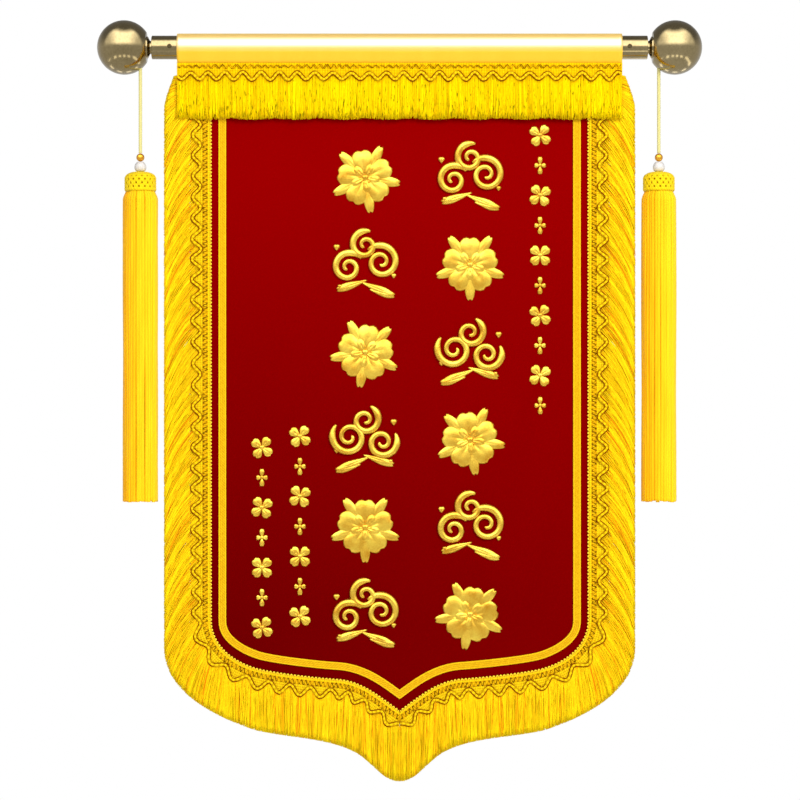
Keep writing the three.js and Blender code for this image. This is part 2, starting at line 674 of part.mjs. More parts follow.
/** One side's edge fringe, above or below the height where the side turns into the bottom. */
function edgeFringeGeometry(side, isAbove) {
  const back = (x, z) => hangY(x, z) - PANEL.thickness / 2 - LAYER_GAP;
  const teeth = EDGE_TEETH.filter((tooth) => (tooth.upper[1] > FRINGE.split) === isAbove);
  return fringe(teeth, FRINGE.depth, back, side);
}

// Top trim

/** The back of the top trim at a point. */
function topBack(x, z) {
  const t = (TOP.top - z) / (TOP.top - TOP.bottom);
  const ripple = TOP.ripple * smooth(0, 1, t) * Math.sin(x / (TOP.rippleLength / 2 / Math.PI));
  return TOP.backTop + (TOP.backBottom - TOP.backTop) * Math.min(t, 1) + ripple;
}

/** The woven braid across the top. */
function topBraidGeometry() {
  const [front, back] = [[], []];
  for (const z of [TOP.top, (TOP.top + TOP.bottom) / 2, TOP.bottom]) {
    const rows = [[], []];
    for (let c = 0; c <= TOP.spans; c += 1) {
      const x = TOP.halfWidth * ((2 * c) / TOP.spans - 1);
      rows[0].push(new THREE.Vector3(x, topBack(x, z) - TOP.thickness, z));
      rows[1].push(new THREE.Vector3(x, topBack(x, z), z));
    }
    front.push(rows[0]);
    back.push(rows[1]);
  }
  return sheet(front, back);
}

/** The wavy gimp cord on the top braid. */
function topGimpGeometry() {
  const bends = GIMP.bends * Math.round((2 * TOP.halfWidth) / GIMP.topPeriod);
  const points = [];
  for (let n = 0; n < bends; n += 1) {
    const x = TOP.halfWidth * ((2 * (n + 0.5)) / bends - 1);
    points.push([x, GIMP.topMiddle + (isOuterBend(n) ? 1 : -1) * GIMP.topAmplitude]);
  }
  return ridgeBar(points, GIMP.width / 2, GIMP.height, (x, z) => topBack(x, z) - TOP.thickness - GIMP.gap);
}

/** The fringe below the top braid: a narrow backing and the locks that hang from it. */
function topFringeGeometry() {
  const pitch = (2 * TOP.halfWidth) / TOP_FRINGE.count;
  const half = pitch / 2 - TOP_FRINGE.gap / 2;
  const teeth = [...Array(TOP_FRINGE.count).keys()].map((n) => {
    const x = -TOP.halfWidth + (n + 0.5) * pitch;
    const tip = TOP_FRINGE.bottom + TOP_FRINGE.ragged * (chance(n + SEEDS.topTip) - 0.5);
    const end = [x + TOP_FRINGE.drift * (chance(n + SEEDS.topDrift) - 0.5), tip];
    return {
      upper: [x, TOP_FRINGE.top],
      left: [x - half, TOP_FRINGE.root],
      right: [x + half, TOP_FRINGE.root],
      path: [{ at: end, half: half * TOP_FRINGE.tip, front: TOP_FRINGE.depth * TOP_FRINGE.tipDepth }],
    };
  });
  const back = (x, z) => topBack(x, TOP.bottom)
    + TOP_FRINGE.lean * smooth(TOP_FRINGE.root, TOP_FRINGE.bottom, z);
  return fringe(teeth, TOP_FRINGE.depth, back);
}

// Tassels

/** The right tassel's cord, from the hole in the ball down to the bead. */
function cordGeometry() {
  const rings = [];
  for (let s = 0; s <= CORD.steps; s += 1) {
    const z = CORD.top + ((CORD.bottom - CORD.top) * s) / CORD.steps;
    rings.push([...Array(CORD.sides).keys()].map((k) => {
      const angle = (2 * Math.PI * k) / CORD.sides;
      return new THREE.Vector3(CORD.x + CORD.radius * Math.cos(angle), CORD.radius * Math.sin(angle), z);
    }));
  }
  return loft(rings);
}

/** The gold bead of the right tassel. */
function beadGeometry() {
  const middle = (BEAD.top + BEAD.bottom) / 2;
  const half = (BEAD.top - BEAD.bottom) / 2;
  const profile = [...Array(BEAD.steps + 1).keys()].map((k) => {
    const angle = (Math.PI * k) / BEAD.steps;
    const radius = k === 0 || k === BEAD.steps ? 0 : BEAD.radius * Math.sin(angle);
    return [middle - half * Math.cos(angle), radius];
  });
  return turned(profile, BEAD.sides).translate(CORD.x, 0, 0);
}

/** The pale barrel bead of the right tassel. */
function barrelGeometry() {
  const height = BARREL.top - BARREL.bottom;
  const wall = BARREL.profile.map(([share, radius]) => [BARREL.bottom + height * share, radius]);
  return turned([[BARREL.bottom, 0], ...wall, [BARREL.top, 0]], BARREL.sides).translate(CORD.x, 0, 0);
}

/** The right tassel: the knitted head with the skirt's ropes rooted in it. */
function tasselGeometry() {
  const { top, bottom, radius, shoulder } = HEAD;
  const shoulders = HEAD.shoulders.map(([down, share]) => [top - shoulder * down, radius * share]);
  const parts = [turned([[bottom, 0], [bottom, radius], ...shoulders, [top, 0]], HEAD.sides)];
  const step = (2 * Math.PI) / SKIRT.strands;
  for (let n = 0; n < SKIRT.strands; n += 1) {
    const rings = [0, 1].map((t) => {
      const z = t ? SKIRT.bottom : bottom + SKIRT.root;
      const out = t ? SKIRT.sway * (chance(n + SEEDS.skirt) - 0.5) : -SKIRT.tuck;
      const corner = (r, side) => {
        const angle = n * step + side * (step / 2 - SKIRT.gap / 2 / r);
        return new THREE.Vector3(r * Math.cos(angle), r * Math.sin(angle), z);
      };
      const [far, near] = [SKIRT.outer + out, SKIRT.inner + out];
      return [corner(near, -1), corner(far, -1), corner(far, 1), corner(near, 1)];
    });
    parts.push(loft(rings));
  }
  return joined(parts).translate(CORD.x, 0, 0);
}

// The banner

add('rod', rodGeometry(), COLOURS.rod);
addPair('finial', finialGeometry(), COLOURS.ball);
addPair('screw', screwGeometry(), COLOURS.screw);
add('sleeve', sleeveGeometry(), COLOURS.satin);
add('panel', panelGeometry(), COLOURS.velvet);
add('ribbon', ribbonGeometry(), COLOURS.ribbon);
for (const side of ['left', 'right']) {
  add(`braid_${side}`, braidGeometry(side), COLOURS.braid);
  add(`gimp_${side}`, gimpGeometry(side), COLOURS.gimp);
  add(`side_fringe_${side}`, edgeFringeGeometry(side, true), COLOURS.fringe);
  add(`bottom_fringe_${side}`, edgeFringeGeometry(side, false), COLOURS.fringe);
}
add('top_braid', topBraidGeometry(), COLOURS.topBraid);
add('top_gimp', topGimpGeometry(), COLOURS.gimp);
add('top_fringe', topFringeGeometry(), COLOURS.topFringe);
addPair('cord', cordGeometry(), COLOURS.cord);
addPair('bead', beadGeometry(), COLOURS.bead);
addPair('barrel_bead', barrelGeometry(), COLOURS.barrel);
addPair('tassel', tasselGeometry(), COLOURS.tassel);

export default banner;
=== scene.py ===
"""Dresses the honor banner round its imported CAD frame.

Sizes are millimetres in the banner's own frame: X runs along the rod, -Y faces the viewer, +Z is up,
and the rod's axis is Y = Z = 0. A mesh is turned into metres when it is made.
"""

import logging
import math
from dataclasses import dataclass, field
from enum import Enum

import bpy
import numpy as np
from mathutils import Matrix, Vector


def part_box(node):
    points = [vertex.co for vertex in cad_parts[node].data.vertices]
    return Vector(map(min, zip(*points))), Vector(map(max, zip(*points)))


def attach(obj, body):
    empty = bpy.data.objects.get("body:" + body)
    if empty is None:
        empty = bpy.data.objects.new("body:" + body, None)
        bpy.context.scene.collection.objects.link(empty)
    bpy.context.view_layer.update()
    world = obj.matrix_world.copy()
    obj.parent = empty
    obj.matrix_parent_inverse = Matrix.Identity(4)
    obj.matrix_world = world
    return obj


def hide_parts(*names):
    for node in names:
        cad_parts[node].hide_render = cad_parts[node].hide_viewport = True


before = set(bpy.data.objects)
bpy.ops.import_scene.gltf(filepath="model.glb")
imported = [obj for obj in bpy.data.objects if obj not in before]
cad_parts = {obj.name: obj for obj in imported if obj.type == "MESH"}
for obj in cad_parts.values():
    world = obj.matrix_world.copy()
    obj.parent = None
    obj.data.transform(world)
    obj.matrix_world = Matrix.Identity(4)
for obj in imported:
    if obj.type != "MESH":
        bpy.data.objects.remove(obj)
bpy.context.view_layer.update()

LOG = logging.getLogger("honor_banner")
BODY = "root"
MM = 0.001
FULL_TURN = 2 * math.pi
TINY = 1e-9
# Short names for types. A shape is a mesh's corners and faces.
Array = np.ndarray
Shape = tuple[Array, list]
Material = bpy.types.Material
Node = bpy.types.Node
Piece = bpy.types.Object
Socket = bpy.types.NodeSocket
Tree = bpy.types.NodeTree


class Side(Enum):
    """The banner's left or right, as the viewer sees it."""

    LEFT = -1
    RIGHT = 1

    @property
    def word(self) -> str:
        """The side's name in lower case."""
        return self.name.lower()


class Axis(Enum):
    """The direction that a turned piece is turned about."""

    X = (1, 0, 0)
    Y = (0, 1, 0)
    Z = (0, 0, 1)

    @property
    def turn(self) -> tuple[float, float, float]:
        """The Euler angles that stand a flat circle across this axis."""
        return {"X": (0, math.pi / 2, 0), "Y": (-math.pi / 2, 0, 0), "Z": (0, 0, 0)}[self.name]


# Numbers and curves


def smooth(low: float, high: float, x: Array | float) -> Array:
    """A smooth step from 0 at low to 1 at high."""
    t = np.clip((x - low) / (high - low), 0, 1)
    return t * t * (3 - 2 * t)


def linear(red: int, green: int, blue: int) -> tuple[float, float, float, float]:
    """An sRGB colour, 0 to 255, as the linear colour that a shader takes."""
    parts = [v / 255 for v in (red, green, blue)]
    return tuple(v / 12.92 if v <= 0.04045 else ((v + 0.055) / 1.055) ** 2.4 for v in parts) + (1.0,)


def bezier(points: tuple, steps: int) -> Array:
    """Points along a cubic curve given by its two ends and two handles.

    Args:
        points: start, first handle, second handle and end, each (x, z).
        steps: how many equal steps of the parameter, the end left out.

    Returns:
        An array of steps rows of x and z.
    """
    a, b, c, d = (np.array(p, float) for p in points)
    t = np.linspace(0, 1, steps, endpoint=False)[:, None]
    return a * (1 - t) ** 3 + 3 * b * t * (1 - t) ** 2 + 3 * c * t * t * (1 - t) + d * t**3


def distance_to_line(line: Array, x: Array, z: Array) -> Array:
    """The least distance of each point from a line of points in the banner's plane.

    Args:
        line: the line's points, rows of x and z.
        x: the points' x.
        z: the points' z.

    Returns:
        The distances, in the shape of x.
    """
    least = np.full(np.shape(x), np.inf)
    for a, b in zip(line[:-1], line[1:]):
        along = b - a
        t = np.clip(((x - a[0]) * along[0] + (z - a[1]) * along[1]) / along.dot(along), 0, 1)
        least = np.minimum(least, np.hypot(x - a[0] - t * along[0], z - a[1] - t * along[1]))
    return least


# Meshes


def new_piece(name: str, corners: Array, faces: list, uv: Array | None = None,
              **values: Array) -> Piece:
    """Makes a smooth-shaded object at the origin from corners in millimetres.

    Args:
        name: the piece's name.
        corners: rows of x, y and z.
        faces: the corner numbers of each face, turned to look outwards.
        uv: rows of u and v, one for each corner.
        values: named numbers, one for each corner, kept as attributes.

    Returns:
        The new object.
    """
    mesh = bpy.data.meshes.new(name)
    mesh.from_pydata((np.asarray(corners) * MM).tolist(), [], faces)
    mesh.shade_smooth()
    if uv is not None:
        layer = mesh.uv_layers.new(name="cloth")
        loops = np.empty(len(mesh.loops), dtype=np.int32)
        mesh.loops.foreach_get("vertex_index", loops)
        layer.data.foreach_set("uv", np.asarray(uv, np.float32)[loops].ravel())
    for key, numbers in values.items():
        mesh.attributes.new(key, "FLOAT", "POINT").data.foreach_set("value", np.asarray(numbers, np.float32))
    piece = bpy.data.objects.new(name, mesh)
    bpy.context.scene.collection.objects.link(piece)
    return piece


def outwards(corners: Array, faces: Array) -> list:
    """Turns a closed shape's faces so that they look outwards.

    Args:
        corners: rows of x, y and z.
        faces: rows of corner numbers, all wound the same way round.

    Returns:
        The faces as lists.
    """
    a, b, c = (corners[faces[:, k]] for k in range(3))
    volume = np.einsum("ij,ij->i", a, np.cross(b, c)).sum()
    if faces.shape[1] == 4:
        d = corners[faces[:, 3]]
        volume += np.einsum("ij,ij->i", a, np.cross(c, d)).sum()
    return (faces[:, ::-1] if volume < 0 else faces).tolist()


def closed_sheet(front: Array, back: Array) -> Shape:
    """Joins a front and a back grid of points in one closed sheet.

    Args:
        front: rows by columns by 3.
        back: the same for the other face.

    Returns:
        The corners and the faces.
    """
    rows, columns = front.shape[:2]
    at = np.arange(rows * columns).reshape(rows, columns)
    shift = rows * columns
    quads = np.stack([at[:-1, :-1], at[1:, :-1], at[1:, 1:], at[:-1, 1:]], -1).reshape(-1, 4)
    rim = np.concatenate([at[0, :-1], at[:-1, -1], at[-1, :0:-1], at[:0:-1, 0]])
    after = np.roll(rim, -1)
    walls = np.stack([rim, after, after + shift, rim + shift], -1)
    corners = np.concatenate([front.reshape(-1, 3), back.reshape(-1, 3)])
    return corners, outwards(corners, np.concatenate([quads, quads[:, ::-1] + shift, walls]))


def tubes(paths: Array, radii: Array, sides: int, flat: float = 1.0) -> Shape:
    """Round or flattened tubes along many paths that run mostly across the viewer's sight.

    Args:
        paths: tubes by points by 3.
        radii: tubes by points.
        sides: how many sides a section has.
        flat: the thickness of a section towards the viewer, as a share of its width.

    Returns:
        The corners and the faces of all tubes, closed at both ends.
    """
    count, steps = paths.shape[:2]
    along = np.gradient(paths, axis=1)
    along /= np.linalg.norm(along, axis=2, keepdims=True) + TINY
    across = np.cross(along, np.array([0.0, 1.0, 0.0]))
    across /= np.linalg.norm(across, axis=2, keepdims=True) + TINY
    front = np.cross(across, along)
    angle = FULL_TURN * (np.arange(sides) + 0.25) / sides
    ring = across[:, :, None] * np.cos(angle)[:, None] + front[:, :, None] * (flat * np.sin(angle))[:, None]
    corners = (paths[:, :, None] + ring * radii[:, :, None, None]).reshape(-1, 3)
    start = (np.arange(count) * steps * sides)[:, None, None]
    here = start + (np.arange(steps - 1) * sides)[None, :, None] + np.arange(sides)
    there = start + (np.arange(steps - 1) * sides)[None, :, None] + np.roll(np.arange(sides), -1)
    quads = np.stack([here, there, there + sides, here + sides], -1).reshape(-1, 4)
    faces = outwards(corners, quads)
    turned_over = faces[0] != quads[0].tolist()
    first = (start[:, 0] + np.arange(sides)[::-1]).tolist()
    last = (start[:, 0] + (steps - 1) * sides + np.arange(sides)).tolist()
    ends = [ring_end[::-1] if turned_over else ring_end for ring_end in first + last]
    return corners, faces + ends


def round_tube(path: Array, radius: float, sides: int, flat: float = 1.0) -> Shape:
    """One tube of an even radius along one path."""
    return tubes(path[None], np.full((1, len(path)), radius), sides, flat)


def ringed(rings: Array) -> Shape:
    """A closed shape made of rings of points, one after another.

    Args:
        rings: rows by sides by 3.

    Returns:
        The corners and the faces, with both ends closed.
    """
    rows, sides = rings.shape[:2]
    at = np.arange(rows * sides).reshape(rows, sides)
    after = np.roll(at, -1, 1)
    quads = np.stack([at[:-1], after[:-1], after[1:], at[1:]], -1).reshape(-1, 4)
    corners = rings.reshape(-1, 3)
    return corners, outwards(corners, quads) + [at[0].tolist(), at[-1].tolist()[::-1]]


def merged(shapes: list) -> Shape:
    """Puts several shapes in one list of corners and one list of faces.

    Args:
        shapes: pairs of corners and faces.

    Returns:
        All the corners and all the faces.
    """
    corners, faces, shift = [], [], 0
    for points, polygons in shapes:
        corners.append(points)
        faces.extend([[index + shift for index in polygon] for polygon in polygons])
        shift += len(points)
    return np.concatenate(corners), faces


def turned(name: str, profile: list, sides: int, axis: Axis, centre: tuple,
           bend_angle: float = 40) -> Piece:
    """Shapes a round solid by extruding a circle from row to row of its profile.

    Args:
        name: the piece's name.
        profile: rows of the place along the axis and the radius, in millimetres; no radius is 0.
        sides: how many sides the circle has.
        axis: what it is turned about.
        centre: the point that the places along the axis are counted from.
        bend_angle: edges sharper than this many degrees stay crisp.

    Returns:
        The new object, at the origin.
    """
    way = np.array(axis.value, float)
    bpy.ops.object.select_all(action="DESELECT")
    start, radius = profile[0]
    place = (np.array(centre) + way * start) * MM
    bpy.ops.mesh.primitive_circle_add(vertices=sides, radius=radius * MM, fill_type="NGON",
                                      location=place, rotation=axis.turn)
    piece = bpy.context.object
    piece.name = piece.data.name = name
    bpy.ops.object.mode_set(mode="EDIT")
    for (before, was), (after, now) in zip(profile, profile[1:]):
        place = (np.array(centre) + way * after) * MM
        bpy.ops.mesh.extrude_region_move(TRANSFORM_OT_translate={"value": way * (after - before) * MM})
        bpy.ops.transform.resize(value=(now / was,) * 3, center_override=place)
    bpy.ops.mesh.select_all(action="SELECT")
    bpy.ops.mesh.normals_make_consistent(inside=False)
    bpy.ops.object.mode_set(mode="OBJECT")
    bpy.ops.object.transform_apply(location=True, rotation=True, scale=True)
    bpy.ops.object.shade_smooth_by_angle(angle=math.radians(bend_angle))
    return piece


def yarn_piece(name: str, shapes: list, tones: list, finish: Material, slot: str, *nodes: str) -> Piece:
    """Many yarns as one dressed piece.

    Args:
        name: the piece's name.
        shapes: the corners and faces of each yarn.
        tones: the tones of each yarn's corners.
        finish: its material.
        slot: its material's slot.
        nodes: the CAD nodes that it replaces.

    Returns:
        The finished piece.
    """
    piece = new_piece(name, *merged(shapes), tone=np.concatenate(tones))
    return dress(piece, finish, slot, *nodes)


def cut_away(piece: Piece, tool: Piece) -> None:
    """Cuts a tool's shape out of a piece and deletes the tool.

    Args:
        piece: what is cut.
        tool: the shape that goes.
    """
    bpy.ops.object.select_all(action="DESELECT")
    bpy.context.view_layer.objects.active = piece
    cut = piece.modifiers.new("cut", "BOOLEAN")
    cut.object = tool
    cut.operation = "DIFFERENCE"
    bpy.ops.object.modifier_apply(modifier=cut.name)
    bpy.data.objects.remove(tool)


def dress(piece: Piece, finish: Material, slot: str, *nodes: str) -> Piece:
    """Gives a finished piece its material and its body, and hides the CAD nodes that it stands for.

    Args:
        piece: the finished piece.
        finish: its material.
        slot: the record's material slot; not used.
        nodes: the CAD nodes that it replaces.

    Returns:
        The same piece.
    """
    piece.data.materials.clear()
    piece.data.materials.append(finish)
    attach(piece, BODY)
    if nodes:
        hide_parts(*nodes)
    return piece


# Finishes


class NodeBench:
    """Sets out and joins the nodes of one material or group."""

    def __init__(self, tree: Tree) -> None:
        """Starts with an empty tree."""
        self.tree = tree
        tree.nodes.clear()

    def add(self, kind: str, inputs: dict | None = None, **settings: object) -> Node:
        """Adds a node, sets its own settings, and fills or joins its inputs.

        Args:
            kind: the node's type.
            inputs: a value or a socket to join, for each input's name or number.
            settings: the node's own properties.

        Returns:
            The node.
        """
        node = self.tree.nodes.new(kind)
        for name, value in settings.items():
            setattr(node, name, value)
        for name, value in (inputs or {}).items():
            if isinstance(value, Socket):
                self.tree.links.new(value, node.inputs[name])
            else:
                node.inputs[name].default_value = value
        return node

    def join(self, value: Socket, node: Node, name: str) -> None:
        """Joins a socket to a node's named input."""
        self.tree.links.new(value, node.inputs[name])

    def math(self, operation: str, *values: object) -> Socket:
        """The outcome of a Math node on one, two or three values or sockets."""
        return self.add("ShaderNodeMath", dict(enumerate(values)), operation=operation).outputs[0]

    def mix(self, share: object, first: object, second: object) -> Socket:
        """A colour between two colours."""
        node = self.add("ShaderNodeMix", data_type="RGBA")
        for name, value in (("Factor_Float", share), ("A_Color", first), ("B_Color", second)):
            socket = next(s for s in node.inputs if s.identifier == name)
            if isinstance(value, Socket):
                self.tree.links.new(value, socket)
            else:
                socket.default_value = value
        return next(s for s in node.outputs if s.identifier == "Result_Color")

    def spread(self, value: object, low: float, high: float, to_low: float = 0,
               to_high: float = 1) -> Socket:
        """A value's range from low to high, laid on another range and held inside it."""
        node = self.add("ShaderNodeMapRange", {"Value": value, "From Min": low, "From Max": high,
                                               "To Min": to_low, "To Max": to_high})
        return node.outputs[0]

    def noise(self, vector: object, scale: float, detail: float = 3) -> Socket:
        """Soft noise from 0 to 1 at so many lumps a metre."""
        node = self.add("ShaderNodeTexNoise", {"Vector": vector, "Scale": scale, "Detail": detail})
        return node.outputs["Fac"]


def group(name: str, inputs: dict, outputs: dict) -> tuple[Tree, NodeBench, dict, Node]:
    """Starts a shader node group.

    Args:
        name: the group's name.
        inputs: the socket type of each input.
        outputs: the socket type of each output.

    Returns:
        The group, its bench, the sockets that bring the inputs in, and the node that takes the outputs.
    """
    tree = bpy.data.node_groups.new(name, "ShaderNodeTree")
    for way, sockets in (("INPUT", inputs), ("OUTPUT", outputs)):
        for key, kind in sockets.items():
            tree.interface.new_socket(name=key, in_out=way, socket_type=f"NodeSocket{kind}")
    bench = NodeBench(tree)
    entry = bench.add("NodeGroupInput")
    end = bench.add("NodeGroupOutput")
    return tree, bench, {key: entry.outputs[key] for key in inputs}, end


def mottle_group() -> Tree:
    """Two close colours that drift into each other in soft patches with a finer grain over them."""
    tree, bench, given, end = group(
        "mottle", {"Vector": "Vector", "Patch": "Float", "Grain": "Float", "Dark": "Color", "Light": "Color"},
        {"Color": "Color", "Share": "Float"})
    patch_share, plain_dark, plain_light = 0.6, 0.3, 0.7
    patch = bench.noise(given["Vector"], given["Patch"], 2)
    grain = bench.noise(given["Vector"], given["Grain"])
    both = bench.math("ADD", bench.math("MULTIPLY", patch, patch_share),
                      bench.math("MULTIPLY", grain, 1 - patch_share))
    share = bench.spread(both, plain_dark, plain_light)
    bench.join(bench.mix(share, given["Dark"], given["Light"]), end, "Color")
    bench.join(share, end, "Share")
    return tree


def weave_group() -> Tree:
    """Threads that pass over and under each other, as a height and a mask of the gaps between them."""
    tree, bench, given, end = group(
        "weave", {"Along": "Float", "Across": "Float", "Along pitch": "Float", "Across pitch": "Float"},
        {"Height": "Float", "Gap": "Float"})
    turns = [bench.math("MULTIPLY", bench.math("DIVIDE", given[name], given[f"{name} pitch"]), math.pi)
             for name in ("Along", "Across")]
    ribs = [bench.math("ABSOLUTE", bench.math("SINE", turn)) for turn in turns]
    over = bench.math("SIGN", bench.math("MULTIPLY", *(bench.math("SINE", turn) for turn in turns)))
    share = bench.spread(over, -1, 1)
    height = bench.math("ADD", bench.math("MULTIPLY", ribs[0], share),
                        bench.math("MULTIPLY", ribs[1], bench.math("SUBTRACT", 1.0, share)))
    bench.join(height, end, "Height")
    gap_floor, gap_edge = 0.05, 0.35
    gap = bench.math("SUBTRACT", 1.0, bench.spread(bench.math("MULTIPLY", *ribs), gap_floor, gap_edge))
    bench.join(gap, end, "Gap")
    return tree


class Effects:
    """The node groups that several finishes share."""

    def __init__(self) -> None:
        """Builds each group once."""
        self.mottle = mottle_group()
        self.weave = weave_group()


@dataclass(frozen=True)
class Finish:
    """What every finish has: a name and the plain numbers of its surface.

    Patch, grain and relief are the lumps a metre of its soft patches, its fine tone and its height.
    The relief's depth is in millimetres.
    """

    name: str
    roughness: float = 0.6
    metallic: float = 0.0
    specular: float = 0.5
    sheen: float = 0.0
    sheen_tint: tuple = (1.0, 1.0, 1.0, 1.0)
    coat: float = 0.0
    coat_roughness: float = 0.25
    refraction: float = 1.5
    gloss_tint: tuple = (1.0, 1.0, 1.0, 1.0)
    dark: tuple = (0.5, 0.5, 0.5, 1.0)
    light: tuple = (1.0, 1.0, 1.0, 1.0)
    patch: float = 12.0
    grain: float = 300.0
    relief: float = 1000.0
    relief_strength: float = 0.25
    relief_depth: float = 0.2

    def start(self) -> tuple[Material, NodeBench, Node]:
        """Makes the material with its shader and output.

        Returns:
            The material, its bench and the shader node.
        """
        material = bpy.data.materials.new(self.name)
        material.use_nodes = True
        bench = NodeBench(material.node_tree)
        shader = bench.add("ShaderNodeBsdfPrincipled", {
            "Roughness": self.roughness, "Metallic": self.metallic, "Specular IOR Level": self.specular,
            "Sheen Weight": self.sheen, "Sheen Tint": self.sheen_tint, "Coat Weight": self.coat,
            "IOR": self.refraction, "Specular Tint": self.gloss_tint, "Coat Roughness": self.coat_roughness})
        bench.add("ShaderNodeOutputMaterial", {"Surface": shader.outputs[0]})
        return material, bench, shader

    def place(self, bench: NodeBench) -> Socket:
        """The object's own coordinates."""
        return bench.add("ShaderNodeTexCoord").outputs["Object"]

    def drawn_out(self, bench: NodeBench, place: Socket, scale: tuple) -> Socket:
        """Coordinates scaled by a number for each axis, so that a pattern on them is drawn out."""
        return bench.add("ShaderNodeMapping", {"Vector": place, "Scale": scale}).outputs[0]

    def mottled(self, bench: NodeBench, effects: Effects, place: Socket) -> Socket:
        """The colour that drifts between the finish's dark and light one."""
        node = bench.add("ShaderNodeGroup", {"Vector": place, "Patch": self.patch, "Grain": self.grain,
                                             "Dark": self.dark, "Light": self.light},
                         node_tree=effects.mottle)
        return node.outputs["Color"]

    def raise_by(self, bench: NodeBench, shader: Node, height: Socket) -> None:
        """Raises the surface by a height of 0 to 1, as strongly and as far as the finish says."""
        node = bench.add("ShaderNodeBump", {"Height": height, "Strength": self.relief_strength,
                                            "Distance": self.relief_depth * MM})
        bench.join(node.outputs["Normal"], shader, "Normal")


@dataclass(frozen=True)
class Velvet(Finish):
    """Deep red pile, darker towards the foot and most of all on the left: painted shade, as if lit from the
    upper right.

    The shades' ends are places in metres, and pile_tone spreads the pile's noise over a factor of brightness.
    """

    top: tuple = linear(137, 0, 1)
    bottom_left: tuple = linear(99, 0, 1)
    bottom_right: tuple = linear(115, 0, 1)
    fade_across: tuple = (-0.2, 0.2)
    fade_down: tuple = (-0.16, -0.72)
    grain: float = 900.0
    pile_tone: tuple = (0.25, 0.75, 0.9, 1.08)
    relief: float = 1500.0
    relief_depth: float = 0.4

    def make(self, effects: Effects) -> Material:
        """Builds the velvet's material."""
        material, bench, shader = self.start()
        place = self.place(bench)
        x, _, z = bench.add("ShaderNodeSeparateXYZ", {"Vector": place}).outputs
        # Painted shade: lighter at the top, darker towards the foot and on the left.
        low = bench.mix(bench.spread(x, *self.fade_across), self.bottom_left, self.bottom_right)
        colour = bench.mix(bench.spread(z, *self.fade_down), self.top, low)
        pile = bench.spread(bench.noise(place, self.grain), *self.pile_tone)
        scaled = bench.add("ShaderNodeVectorMath", {0: colour, "Scale": pile}, operation="SCALE")
        bench.join(scaled.outputs[0], shader, "Base Color")
        self.raise_by(bench, shader, bench.noise(place, self.relief, 2))
        return material


@dataclass(frozen=True)
class Satin(Finish):
    """Yellow satin: long smooth threads, with a wide white gloss where it is drawn over the rod.

    The gloss grows from slack_gloss at slack_z to the full one at taut_z, in millimetres.
    """

    dark: tuple = linear(247, 190, 38)
    light: tuple = linear(251, 198, 48)
    threads: tuple = (4.0, 0.6, 0.6)
    grain: float = 500.0
    slack_z: float = -7.5
    taut_z: float = 0.5
    slack_gloss: float = 0.04
    relief: float = 700.0
    relief_strength: float = 0.08
    relief_depth: float = 0.15

    def make(self, effects: Effects) -> Material:
        """Builds the satin's material."""
        material, bench, shader = self.start()
        place = self.place(bench)
        along = self.drawn_out(bench, place, self.threads)
        bench.join(self.mottled(bench, effects, along), shader, "Base Color")
        height = bench.add("ShaderNodeSeparateXYZ", {"Vector": place}).outputs[2]
        taut = bench.spread(height, self.slack_z * MM, self.taut_z * MM, self.slack_gloss, self.specular)
        bench.join(taut, shader, "Specular IOR Level")
        self.raise_by(bench, shader, bench.noise(along, self.relief, 2))
        return material


@dataclass(frozen=True)
class Yarn(Finish):
    """Silky yarn: each strand has a tone of its own, with streaks along it, and dark marks of painted shade
    where the strand ends part.

    Drawn is how the grain is scaled along each axis. The painted shade thickens between the two heights given
    for it, in millimetres, from the higher down to the lower, and shows where its noise passes its edge.
    """

    dark: tuple = linear(244, 152, 12)
    light: tuple = linear(255, 226, 20)
    drawn: tuple = (1.0, 1.0, 1.0)
    grain: float = 260.0
    grain_share: float = 0.35
    # The colour of the painted shade where the strand ends part.
    fleck: tuple = linear(104, 84, 6)
    fleck_share: float = 0.0
    fleck_from: float = -46.0
    fleck_to: float = -90.0
    fleck_drawn: tuple = (1.7, 1.0, 0.2)
    fleck_grain: float = 560.0
    fleck_edge: tuple = (0.655, 0.7)
    fleck_strength: float = 0.85
    relief: float = 1800.0
    relief_strength: float = 0.3

    def make(self, effects: Effects) -> Material:
        """Builds the yarn's material."""
        material, bench, shader = self.start()
        place = self.drawn_out(bench, self.place(bench), self.drawn)
        tone = bench.add("ShaderNodeAttribute", attribute_name="tone").outputs["Fac"]
        grain = bench.math("SUBTRACT", bench.noise(place, self.grain), 0.5)
        share = bench.math("ADD", tone, bench.math("MULTIPLY", grain, self.grain_share))
        colour = bench.mix(bench.spread(share, 0, 1), self.dark, self.light)
        # Painted shade: dark marks where the strand ends part, more of them lower down.
        if self.fleck_share:
            colour = bench.mix(self.flecks(bench, place), colour, self.fleck)
        bench.join(colour, shader, "Base Color")
        self.raise_by(bench, shader, bench.noise(place, self.relief, 2))
        return material

    def flecks(self, bench: NodeBench, place: Socket) -> Socket:
        """The mask of the painted shade where ends of yarn stand apart.

        Args:
            bench: the material's bench.
            place: the coordinates that the yarn's grain reads.

        Returns:
            The socket with the mask.
        """
        drawn = self.drawn_out(bench, place, self.fleck_drawn)
        height = bench.add("ShaderNodeSeparateXYZ", {"Vector": place}).outputs[2]
        lower = bench.spread(height, self.fleck_from * MM, self.fleck_to * MM, 0.0, self.fleck_share)
        marks = bench.math("ADD", bench.noise(drawn, self.fleck_grain, 2), lower)
        return bench.spread(marks, *self.fleck_edge, 0, self.fleck_strength)


